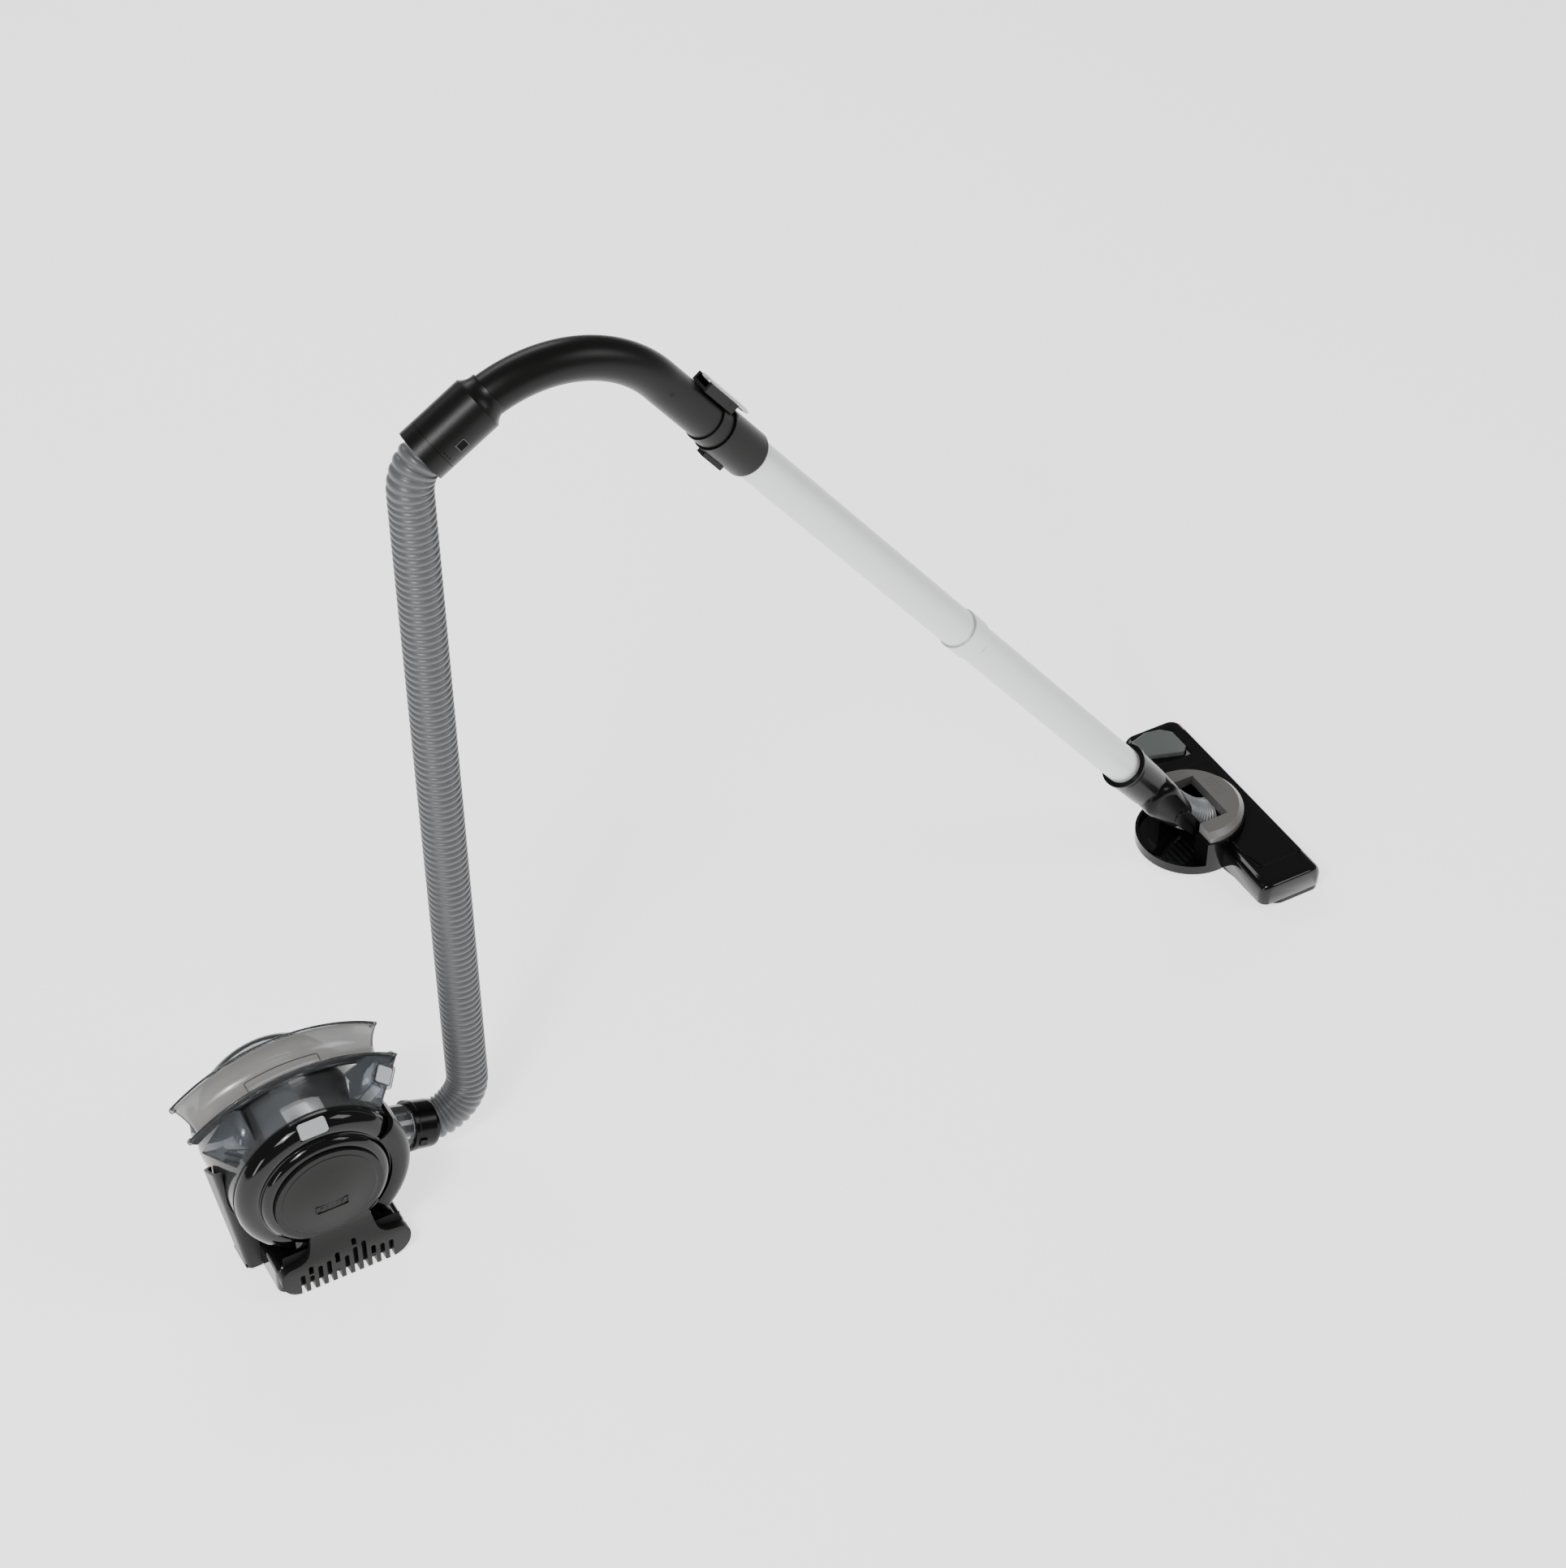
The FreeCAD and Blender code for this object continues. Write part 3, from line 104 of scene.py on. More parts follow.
# extra points on the long straight stretch keep its corners as tight as its neighbours
HOSE_VISUAL_ROUTE = HOSE_ROUTE[:4] + [(170.06, 85.4), (166.63, 707.0)] + HOSE_ROUTE[4:]
hose_line = line_points(nurbs_line("hose_line", HOSE_VISUAL_ROUTE))

# ------------------------------------------------------------------ materials

COAT_ROUGHNESS = 0.05
CLOUD_SCALE = 26.0
GRAIN_SCALE = 600.0
BUMP_DEPTH = 0.0002


def material(name, color, rough=0.5, metal=0.0, coat=0.0, grain=0.0, vary=0.0,
             alpha=1.0, bump=0.0, bump_scale=900.0, specular=0.5):
    """A procedural material: base colour with slight variation, roughness grain and fine bump."""
    mat = bpy.data.materials.new(name)
    mat.use_nodes = True
    nodes, links = mat.node_tree.nodes, mat.node_tree.links
    shader = nodes["Principled BSDF"]
    shader.inputs["Base Color"].default_value = (*color, 1)
    shader.inputs["Roughness"].default_value = rough
    shader.inputs["Metallic"].default_value = metal
    shader.inputs["Coat Weight"].default_value = coat
    shader.inputs["Coat Roughness"].default_value = COAT_ROUGHNESS
    shader.inputs["Alpha"].default_value = alpha
    shader.inputs["Specular IOR Level"].default_value = specular
    place = nodes.new("ShaderNodeTexCoord")
    cloud = nodes.new("ShaderNodeTexNoise")
    cloud.inputs["Scale"].default_value = CLOUD_SCALE
    cloud.inputs["Detail"].default_value = 3.0
    links.new(place.outputs["Object"], cloud.inputs["Vector"])
    if vary:
        ramp = nodes.new("ShaderNodeMapRange")
        ramp.inputs["To Min"].default_value = 1 - vary
        ramp.inputs["To Max"].default_value = 1 + vary
        tint = nodes.new("ShaderNodeVectorMath")
        tint.operation = "SCALE"
        tint.inputs[0].default_value = color
        links.new(cloud.outputs["Fac"], ramp.inputs["Value"])
        links.new(ramp.outputs["Result"], tint.inputs["Scale"])
        links.new(tint.outputs["Vector"], shader.inputs["Base Color"])
    if grain:
        fine = nodes.new("ShaderNodeTexNoise")
        fine.inputs["Scale"].default_value = GRAIN_SCALE
        spread = nodes.new("ShaderNodeMapRange")
        spread.inputs["To Min"].default_value = max(0.02, rough - grain)
        spread.inputs["To Max"].default_value = rough + grain
        links.new(place.outputs["Object"], fine.inputs["Vector"])
        links.new(fine.outputs["Fac"], spread.inputs["Value"])
        links.new(spread.outputs["Result"], shader.inputs["Roughness"])
    if bump:
        pit = nodes.new("ShaderNodeTexNoise")
        pit.inputs["Scale"].default_value = bump_scale
        relief = nodes.new("ShaderNodeBump")
        relief.inputs["Strength"].default_value = bump
        relief.inputs["Distance"].default_value = BUMP_DEPTH
        links.new(place.outputs["Object"], pit.inputs["Vector"])
        links.new(pit.outputs["Fac"], relief.inputs["Height"])
        links.new(relief.outputs["Normal"], shader.inputs["Normal"])
    return mat


def clear_plastic(name, through, haze, haze_part, rough):
    """Tinted see-through plastic: light passes straight on, with gloss by Fresnel and a haze."""
    mat = bpy.data.materials.new(name)
    mat.use_nodes = True
    nodes, links = mat.node_tree.nodes, mat.node_tree.links
    nodes.clear()
    out = nodes.new("ShaderNodeOutputMaterial")
    clear = nodes.new("ShaderNodeBsdfTransparent")
    clear.inputs["Color"].default_value = (*through, 1)
    cloudy = nodes.new("ShaderNodeBsdfDiffuse")
    place = nodes.new("ShaderNodeTexCoord")
    cloud = nodes.new("ShaderNodeTexNoise")
    cloud.inputs["Scale"].default_value = 30.0
    tint = nodes.new("ShaderNodeMix")
    tint.data_type = "RGBA"
    tint.inputs["A"].default_value = (*[c * 0.94 for c in haze], 1)
    tint.inputs["B"].default_value = (*[min(1, c * 1.06) for c in haze], 1)
    links.new(place.outputs["Object"], cloud.inputs["Vector"])
    links.new(cloud.outputs["Fac"], tint.inputs["Factor"])
    links.new(tint.outputs["Result"], cloudy.inputs["Color"])
    body = nodes.new("ShaderNodeMixShader")
    body.inputs["Fac"].default_value = haze_part
    links.new(clear.outputs[0], body.inputs[1])
    links.new(cloudy.outputs[0], body.inputs[2])
    shine = nodes.new("ShaderNodeBsdfGlossy")
    shine.inputs["Roughness"].default_value = rough
    edge = nodes.new("ShaderNodeFresnel")
    edge.inputs["IOR"].default_value = 1.46
    skin = nodes.new("ShaderNodeMixShader")
    links.new(edge.outputs[0], skin.inputs["Fac"])
    links.new(body.outputs[0], skin.inputs[1])
    links.new(shine.outputs[0], skin.inputs[2])
    links.new(skin.outputs[0], out.inputs["Surface"])
    return mat


GLOSS = material("gloss_black", (0.003, 0.003, 0.0031), 0.08, coat=0.1, grain=0.02, vary=0.05,
                 specular=0.26)
MATTE = material("matte_black", (0.0042, 0.0040, 0.0038), 0.36, grain=0.05, bump=0.15, vary=0.06,
                 specular=0.2)
FACE = material("face_grey", (0.0062, 0.0059, 0.0056), 0.42, grain=0.05, bump=0.2, vary=0.05,
                specular=0.2)
SATIN = material("satin_black", (0.0032, 0.0032, 0.0032), 0.2, grain=0.04, vary=0.05, specular=0.16)
INSIDE = material("inner_black", (0.003, 0.003, 0.003), 0.7, grain=0.05, vary=0.05, specular=0.15)
SMOKE = clear_plastic("smoke_clear", (0.80, 0.815, 0.83), (0.20, 0.205, 0.21), 0.20, rough=0.08)
TROUGH_HAZE = clear_plastic("trough_haze", (0.86, 0.86, 0.86), (0.36, 0.355, 0.345), 0.62,
                            rough=0.16)
FILTER = material("filter_grey", (0.085, 0.085, 0.083), 0.6, grain=0.06, vary=0.05, bump=0.3)
BUTTON = material("button_grey", (0.40, 0.41, 0.42), 0.38, grain=0.04, vary=0.03)
HOSE = material("hose_grey", (0.088, 0.090, 0.095), 0.36, grain=0.05, vary=0.05, specular=0.4)
SILVER = material("wand_silver", (0.66, 0.67, 0.68), 0.34, metal=0.55, grain=0.05, vary=0.02)
LEVER = material("lever_silver", (0.50, 0.50, 0.50), 0.35, metal=0.6, grain=0.04, vary=0.03)
TAUPE = material("cap_taupe", (0.20, 0.195, 0.185), 0.36, metal=0.45, grain=0.04, vary=0.03)
PEDAL = material("pedal_grey", (0.13, 0.145, 0.14), 0.42, grain=0.05, vary=0.04, bump=0.1)
RUBBER = material("rubber", (0.012, 0.012, 0.0125), 0.75, grain=0.08, vary=0.08, bump=0.3)
STEEL = material("steel", (0.60, 0.60, 0.62), 0.28, metal=1.0, grain=0.07, vary=0.04)
MESH = material("mesh_grey", (0.34, 0.35, 0.37), 0.8, vary=0.08, bump=0.6, bump_scale=2500)
CELL = material("cell_sleeve", (0.05, 0.16, 0.40), 0.3, coat=0.4, vary=0.05, grain=0.04)
BOARD = material("board_green", (0.01, 0.10, 0.04), 0.4, vary=0.08, grain=0.05)
DUCT = material("duct_silver", (0.30, 0.31, 0.32), 0.36, metal=0.25, grain=0.05, vary=0.05)
BRISTLE = material("bristle", (0.16, 0.16, 0.16), 0.9, vary=0.15, bump=0.8, bump_scale=3000)

FINISH = {
    FACE: ["front_panel"],
    GLOSS: ["drum_ring", "base_shell", "turret_base", "head_top", "head_panel"],
    SATIN: ["neck_yoke", "hose_coupler", "neck_socket", "handle_screw", "lever_pin", "power_switch"],
    MATTE: ["base_plate", "battery_tray", "charging_jack", "side_shroud", "nozzle_holster",
            "hose_cuff_ring", "impeller", "handle_tube", "lever_bracket", "tube_collar",
            "collar_clip", "head_sole", "brush_carrier"],
    SMOKE: ["dust_bowl", "dust_door"],
    BUTTON: ["release_button", "door_latch_button"],
    HOSE: ["hose"],
    SILVER: ["upper_tube", "lower_tube"],
    LEVER: ["latch_lever"],
    TAUPE: ["turret_cap"],
    PEDAL: ["pedal"],
    RUBBER: ["rubber_feet", "bowl_seal", "lint_strips", "wheel_near", "wheel_far"],
    STEEL: ["base_screws", "door_hinge_pin", "motor", "motor_shaft", "lever_spring", "yoke_pins",
            "pedal_pin", "wheel_axles"],
    MESH: ["filter_mesh"],
    FILTER: ["filter_frame", "motor_bulkhead"],
    CELL: ["battery_cells"],
    BOARD: ["circuit_board"],
    DUCT: ["flexible_duct"],
    BRISTLE: ["bristle_strip"],
}
for mat, names in FINISH.items():
    for name in names:
        NODES[name].data.materials.clear()
        NODES[name].data.materials.append(mat)

# ------------------------------------------------------------------ mesh helpers, in millimetres

FRAME_ROW = Matrix()
FRAME_DRUM = Matrix.Translation((0, 0, 105)) @ Matrix.Rotation(math.radians(90), 4, "X")
FRAME_CUFF = Matrix.Translation((177, 0, 750)) @ Matrix.Rotation(math.radians(58), 4, "Y")
FRAME_WAND = Matrix.Translation((427, 0, 686)) @ Matrix.Rotation(math.radians(142.17), 4, "Y")


def add_piece(name, verts, faces, mat, body, place=FRAME_ROW, stands_for=()):
    """A mesh piece from points in millimetres, placed in the row frame and tied to a body."""
    mesh = bpy.data.meshes.new(name)
    mesh.from_pydata([tuple((place @ Vector(v)) * MM) for v in verts], [], faces)
    mesh.update()
    box_mesh = bmesh.new()
    box_mesh.from_mesh(mesh)
    bmesh.ops.remove_doubles(box_mesh, verts=box_mesh.verts, dist=1e-7)
    bmesh.ops.recalc_face_normals(box_mesh, faces=box_mesh.faces)
    box_mesh.to_mesh(mesh)
    box_mesh.free()
    mesh.polygons.foreach_set("use_smooth", [True] * len(mesh.polygons))
    obj = bpy.data.objects.new(name, mesh)
    obj.data.materials.append(mat)
    bpy.context.scene.collection.objects.link(obj)
    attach(obj, body)
    if stands_for:
        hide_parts(*stands_for)
    return obj


def soften(obj, width, segments=3, angle=35.0):
    """Rounds the edges of a piece and shades it smoothly between them."""
    bevel = obj.modifiers.new("rounding", "BEVEL")
    bevel.width = width * MM
    bevel.segments = segments
    bevel.limit_method = "ANGLE"
    bevel.angle_limit = math.radians(angle)
    bevel.harden_normals = True
    bevel.use_clamp_overlap = True
    return obj


def lathe(name, outline, place, mat, body, segments, start=0.0, sweep=360.0, stands_for=()):
    """Turns an outline of (radius, height) pairs about the local Z axis."""
    full = sweep >= 359.9
    steps = segments if full else segments + 1
    verts, faces = [], []
    for i in range(steps):
        turn = math.radians(start + sweep * i / segments)
        for radius, height in outline:
            verts.append((radius * math.cos(turn), radius * math.sin(turn), height))
    n = len(outline)
    for i in range(segments):
        a, b = i * n, ((i + 1) % steps) * n
        for k in range(n):
            j = (k + 1) % n
            faces.append((a + k, b + k, b + j, a + j))
    if not full:
        faces.append(tuple(range(n)))
        faces.append(tuple(range((steps - 1) * n, steps * n))[::-1])
    return add_piece(name, verts, faces, mat, body, place, stands_for=stands_for)


def sweep_tube(name, points, radii, mat, body, segments, stands_for=()):
    """A round tube along points in millimetres, with one radius for each point."""
    verts, faces = [], []
    count = len(points)
    side = Vector((0, 1, 0))
    for i, point in enumerate(points):
        ahead = points[min(i + 1, count - 1)] - points[max(i - 1, 0)]
        ahead.normalize()
        side = (side - ahead * side.dot(ahead)).normalized()
        up = ahead.cross(side)
        for k in range(segments):
            turn = math.tau * k / segments
            verts.append(point + (side * math.cos(turn) + up * math.sin(turn)) * radii[i])
    for i in range(count - 1):
        for k in range(segments):
            j = (k + 1) % segments
            a, b = i * segments, (i + 1) * segments
            faces.append((a + k, a + j, b + j, b + k))
    faces.append(tuple(range(segments))[::-1])
    faces.append(tuple(range((count - 1) * segments, count * segments)))
    return add_piece(name, verts, faces, mat, body, stands_for=stands_for)


def block(name, corner, dims, place, mat, body, round_by=0.6, stands_for=()):
    """A block from its low corner, with rounded edges."""
    x, y, z = corner
    a, b, c = dims
    verts = [(x + a * i, y + b * j, z + c * k) for k in (0, 1) for j in (0, 1) for i in (0, 1)]
    faces = [(0, 2, 3, 1), (4, 5, 7, 6), (0, 1, 5, 4), (2, 6, 7, 3), (0, 4, 6, 2), (1, 3, 7, 5)]
    obj = add_piece(name, verts, faces, mat, body, place, stands_for=stands_for)
    return soften(obj, round_by)


def slab(name, outline, low, high, place, mat, body, round_by=0.6, holes=(), stands_for=()):
    """A plate on a closed outline of (x, y) pairs between two heights, with optional holes."""
    solid = bmesh.new()
    edges = []
    for ring in (outline, *holes):
        corners = [solid.verts.new((x, y, low)) for x, y in ring]
        edges += [solid.edges.new((a, b)) for a, b in zip(corners, corners[1:] + corners[:1])]
    bmesh.ops.triangle_fill(solid, use_beauty=True, edges=edges)
    bmesh.ops.dissolve_limit(solid, angle_limit=0.01, verts=solid.verts, edges=solid.edges)
    grown = bmesh.ops.extrude_face_region(solid, geom=solid.faces[:])
    lifted = [v for v in grown["geom"] if isinstance(v, bmesh.types.BMVert)]
    bmesh.ops.translate(solid, verts=lifted, vec=(0, 0, high - low))
    bmesh.ops.recalc_face_normals(solid, faces=solid.faces)
    verts = [tuple(v.co) for v in solid.verts]
    solid.verts.index_update()
    faces = [tuple(v.index for v in f.verts) for f in solid.faces]
    solid.free()
    obj = add_piece(name, verts, faces, mat, body, place, stands_for=stands_for)
    return soften(obj, round_by) if round_by else obj


def arc_points(centre, radius, start, end, count):
    """Points on a circle between two angles in degrees."""
    cx, cy = centre
    angles = [math.radians(start + (end - start) * i / count) for i in range(count + 1)]
    return [(cx + radius * math.cos(a), cy + radius * math.sin(a)) for a in angles]


def on_curve(first, corner, last, t):
    """A point of the quadratic curve from first to last that bends towards a corner."""
    return first * (1 - t) ** 2 + corner * 2 * t * (1 - t) + last * t ** 2


def round_corners(corners, radius, steps=6):
    """Rounds every corner of a closed outline."""
    out = []
    n = len(corners)
    for i, here in enumerate(corners):
        here = Vector(here)
        before = Vector(corners[i - 1]) - here
        after = Vector(corners[(i + 1) % n]) - here
        reach = min(radius, 0.45 * before.length, 0.45 * after.length)
        first = here + before.normalized() * reach
        last = here + after.normalized() * reach
        for k in range(steps + 1):
            point = on_curve(first, here, last, k / steps)
            out.append((point.x, point.y))
    return out


def round_box(left, low, right, high, rounding):
    """A rectangle's outline between two opposite corners, with every corner rounded."""
    return round_corners([(left, low), (right, low), (right, high), (left, high)], rounding)


def bake_shape(obj):
    """Replaces a piece's mesh by its shape with modifiers applied."""
    bpy.context.view_layer.update()
    shape = bpy.data.meshes.new_from_object(
        obj.evaluated_get(bpy.context.evaluated_depsgraph_get()))
    obj.modifiers.clear()
    obj.data = shape


# ------------------------------------------------------------------ ribbed hose

RIB_PITCH = 6.6
RIB_SHAPE = [0.0, 0.42, 0.80, 0.97, 1.0, 0.97, 0.80, 0.42]
VALLEY, RIDGE = 16.5, 18.6
hose_points, hose_length = resample([p * 1000 for p in hose_line], RIB_PITCH / len(RIB_SHAPE))
hose_radii = [VALLEY + (RIDGE - VALLEY) * RIB_SHAPE[i % len(RIB_SHAPE)]
              for i in range(len(hose_points))]
PLAIN_END = 17.6
hose_radii[:10] = [PLAIN_END] * 10
hose_radii[-8:] = [PLAIN_END] * 8
hose = sweep_tube("hose_ribbed", hose_points, hose_radii, HOSE, "canister", segments=56,
                  stands_for=["hose"])

# ------------------------------------------------------------------ front moulding

BX = 6.0
BACK_LOW, BACK_HIGH = -92.2, -91.0
SLOT_HALF, SLOT_ROUND, SLOT_PITCH, SLOT_BASE = 2.1, 1.6, 8.2, 2.2


def mirrored(points):
    """Points of the base's right half, mirrored about its middle."""
    return [(2 * BX - x, z) for x, z in reversed(points)]


base_right = (arc_points((BX + 40, 22.2), 20.0, -90, 0, 10) + [(BX + 60, 25.0)]
              + arc_points((BX + 49, 24.5), 11.0, 12, 80, 8) + [(BX + 44, 36.0)]
              + [(BX + 40.5, 36.6), (BX + 36.5, 38.4), (BX + 33.2, 41.6), (BX + 31.0, 46.0),
                 (BX + 29.6, 52.0), (BX + 28.2, 60.0)])
# angles about the drum's axis where the base's neck meets the face
right_join = math.degrees(math.atan2(-38.6, 30.2))
left_join = math.degrees(math.atan2(-45.0, -19.4)) % 360
face_ring = arc_points((0, 105), 49.0, right_join + 3, left_join - 3, 120)
moulding_outline = ([(BX - 40, 2.2)] + base_right + face_ring
                    + [(x, z) for x, z in mirrored(base_right) if z <= 60.0 and x < BX - 20])


def front_of(z):
    """How far forward the moulding stands at a height: proud at the base, flush at the face."""
    t = min(1.0, max(0.0, (z - 28.0) / 36.0))
    return 100.0 - 4.9 * t * t * (3 - 2 * t)


def front_moulding():
    """The plate of the face and base in one, with its front edges marked for rounding."""
    solid = bmesh.new()
    outline = []
    for x, z in moulding_outline:
        if not outline or (Vector(outline[-1]) - Vector((x, z))).length > 0.05:
            outline.append((x, z))
    if (Vector(outline[0]) - Vector(outline[-1])).length < 0.05:
        outline.pop()
    corners = [solid.verts.new((x, -100.0, z)) for x, z in outline]
    solid.faces.new(corners)
    for level in range(26, 70, 3):
        geometry = solid.verts[:] + solid.edges[:] + solid.faces[:]
        bmesh.ops.bisect_plane(solid, geom=geometry, plane_co=(0, 0, level), plane_no=(0, 0, 1))
    grown = bmesh.ops.extrude_face_region(solid, geom=solid.faces[:])
    back = [v for v in grown["geom"] if isinstance(v, bmesh.types.BMVert)]
    for v in back:
        v.co.y = BACK_HIGH if v.co.z > 62 else BACK_LOW
    rear = set(back)
    weight = solid.edges.layers.float.new("bevel_weight_edge")
    for v in solid.verts:
        if v not in rear:
            v.co.y = -front_of(v.co.z)
    for e in solid.edges:
        at_front = not any(v in rear for v in e.verts)
        if at_front and any(v in rear for f in e.link_faces for v in f.verts):
            e[weight] = 1.0
    bmesh.ops.recalc_face_normals(solid, faces=solid.faces)
    solid.verts.index_update()
    verts = [tuple(v.co) for v in solid.verts]
    faces = [tuple(v.index for v in f.verts) for f in solid.faces]
    marks = {tuple(sorted(v.index for v in e.verts)) for e in solid.edges if e[weight] > 0}
    solid.free()
    mesh = bpy.data.meshes.new("front_moulding")
    mesh.from_pydata([tuple(Vector(v) * MM) for v in verts], [], faces)
    values = mesh.attributes.new("bevel_weight_edge", "FLOAT", "EDGE")
    for e in mesh.edges:
        values.data[e.index].value = 1.0 if tuple(sorted(e.vertices)) in marks else 0.0
    obj = bpy.data.objects.new("front_moulding", mesh)
    bpy.context.scene.collection.objects.link(obj)
    rounding = obj.modifiers.new("rounding", "BEVEL")
    rounding.width = 3.4 * MM
    rounding.segments = 6
    rounding.limit_method = "WEIGHT"
    return obj


# the vent slots from left to right: spans of height above the base's underside
VENTS = [
    [(0, 22)], [(0, 17.5), (20, 29)], [(0, 25.6)], [(0, 27.4)], [(0, 12), (21, 33)], [(0, 25)],
    [(0, 31), (34, 41)], [(0, 34)], [(0, 12), (14, 24)], [(0, 22)], [(0, 22)],
]


def vent_cutter():
    """All the vent slots as one set of separate round-ended bars."""
    verts, faces = [], []
    for i, spans in enumerate(VENTS):
        middle = BX + (i - 5) * SLOT_PITCH
        for low_z, high_z in spans:
            base = -4.0 if low_z == 0 else SLOT_BASE + low_z
            shoulder = SLOT_BASE + high_z - SLOT_ROUND
            reach = SLOT_HALF - SLOT_ROUND
            ring = ([(middle + SLOT_HALF, base), (middle + SLOT_HALF, shoulder)]
                    + arc_points((middle + reach, shoulder), SLOT_ROUND, 0, 90, 4)
                    + arc_points((middle - reach, shoulder), SLOT_ROUND, 90, 180, 4)
                    + [(middle - SLOT_HALF, base)])
            start = len(verts)
            n = len(ring)
            verts += [(x, -104.0, z) for x, z in ring] + [(x, -91.4, z) for x, z in ring]
            faces.append(tuple(range(start, start + n)))
            faces.append(tuple(range(start + 2 * n - 1, start + n - 1, -1)))
            for k in range(n):
                j = (k + 1) % n
                faces.append((start + k, start + n + k, start + n + j, start + j))
    mesh = bpy.data.meshes.new("vent_cutter")
    mesh.from_pydata([tuple(Vector(v) * MM) for v in verts], [], faces)
    tidy = bmesh.new()
    tidy.from_mesh(mesh)
    bmesh.ops.recalc_face_normals(tidy, faces=tidy.faces)
    tidy.to_mesh(mesh)
    tidy.free()
    obj = bpy.data.objects.new("vent_cutter", mesh)
    bpy.context.scene.collection.objects.link(obj)
    return obj


front = front_moulding()
cutter = vent_cutter()
slots = front.modifiers.new("vents", "BOOLEAN")
slots.object = cutter
slots.operation = "DIFFERENCE"
slots.solver = "EXACT"
bake_shape(front)
bpy.data.objects.remove(cutter)
front.data.materials.clear()
front.data.materials.append(FACE)
front.data.polygons.foreach_set("use_smooth", [True] * len(front.data.polygons))
soften(front, 0.45, segments=2, angle=50)
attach(front, "canister")
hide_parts("front_panel")
block("vent_screen", (BX - 54, -92.9, 5), (108, 0.6, 42), FRAME_ROW, INSIDE, "canister", 0.1)

# shallow dome of the face, level with the moulding at its rim
dome = [(0.0, 93.0), (44.0, 93.0)] + [
    (44.0 * (1 - k / 24), 95.12 + 3.6 * (1 - (1 - k / 24) ** 2) ** 1.6) for k in range(25)]
lathe("face_dome", dome, FRAME_DRUM, FACE, "canister", segments=96)

# generic raised panel on the face
EMBLEM = round_box(-15, -4.6, 15, 4.6, 1.2)
EMBLEM_IN = round_box(-14, -3.6, 14, 3.6, 0.8)
emblem_place = FRAME_DRUM @ Matrix.Translation((0, -11, 0))
slab("face_emblem", EMBLEM, 97.0, 98.7, emblem_place, FACE, "canister", 0.12, holes=[EMBLEM_IN])
for i in range(5):
    slab(f"face_emblem_bar_{i}", round_box(-10.6 + 4.6 * i, -2.0, -7.6 + 4.6 * i, 2.0, 0.8),
         97.0, 98.6, emblem_place, FACE, "canister", 0.1)

# ------------------------------------------------------------------ dust bowl details

SMOKE_EDGE = material("smoke_edge", (0.03, 0.032, 0.035), 0.15, alpha=0.6, coat=0.3, vary=0.03)
TROUGH = Vector((5.3, 0, 38.0))
TROUGH_RIM, TROUGH_CUT, TROUGH_Y = 160.2, 20.8, -14.0
TROUGH_START, TROUGH_SWEEP = 56.2, 72.4
BEAD_REACH = 21.0


def trough_point(angle, radius, y):
    """A point at an angle and radius about the trough's own centre, in the row frame."""
    a = math.radians(angle)
    return Vector((TROUGH.x + radius * math.cos(a), y, TROUGH.z + radius * math.sin(a)))


def bead(name, points, radius, mat, body="canister"):
    """A thin round line, for the rounded edges of moulded plastic."""
    return sweep_tube(name, points, [radius] * len(points), mat, body, segments=10)


ARC = [TROUGH_START + TROUGH_SWEEP * i / 60 for i in range(61)]
for side, reach in (("front", -BEAD_REACH), ("rear", BEAD_REACH)):
    bead(f"trough_{side}_bead", [trough_point(a, TROUGH_RIM, TROUGH_Y + reach) for a in ARC],
         1.0, SMOKE_EDGE)
for name, angle in (("right", 56.4), ("left", 128.4)):
    end = [trough_point(angle, TROUGH_RIM - TROUGH_CUT * math.sin(t),
                        TROUGH_Y - TROUGH_CUT * math.cos(t))
           for t in [math.pi * i / 24 for i in range(25)]]
    bead(f"trough_{name}_end", end, 1.0, SMOKE_EDGE)

# moulded bosses at the trough's four corners
for end, angle in (("right", 57.2), ("left", 127.6)):
    for side, y in (("front", -34.0), ("rear", 6.0)):
        at = trough_point(angle, 158.6, y)
        along = trough_point(angle + 1.6, 158.6, y)
        sweep_tube(f"trough_boss_{end}_{side}", [at, at.lerp(along, 0.5), along], [2.6, 3.0, 2.4],
                   SMOKE, "canister", segments=16)

# frosted inner skin of the trough
SKIN_RADIUS, SKIN_THICKNESS, SKIN_AXIS = 18.7, 0.3, 160.0
SKIN_START, SKIN_SWEEP = 56.6, 71.6
SKIN_STEPS, SKIN_SIDES = 60, 24
ROW = SKIN_SIDES + 1
skin_verts, skin_faces = [], []
for i in range(SKIN_STEPS + 1):
    angle = SKIN_START + SKIN_SWEEP * i / SKIN_STEPS
    for reach in (SKIN_RADIUS, SKIN_RADIUS + SKIN_THICKNESS):
        for k in range(SKIN_SIDES + 1):
            t = math.pi * k / SKIN_SIDES
            skin_verts.append(trough_point(angle, SKIN_AXIS - reach * math.sin(t),
                                           TROUGH_Y - reach * math.cos(t)))
for i in range(SKIN_STEPS):
    for layer in (0, 1):
        for k in range(SKIN_SIDES):
            a = i * 2 * ROW + layer * ROW + k
            b = a + 2 * ROW
            skin_faces.append((a, a + 1, b + 1, b))
    for k in (0, SKIN_SIDES):
        a = i * 2 * ROW + k
        skin_faces.append((a, a + ROW, a + 3 * ROW, a + 2 * ROW))
for i in (0, SKIN_STEPS):
    for k in range(SKIN_SIDES):
        a = i * 2 * ROW + k
        skin_faces.append((a, a + 1, a + ROW + 1, a + ROW))
add_piece("trough_skin", skin_verts, skin_faces, TROUGH_HAZE, "canister")

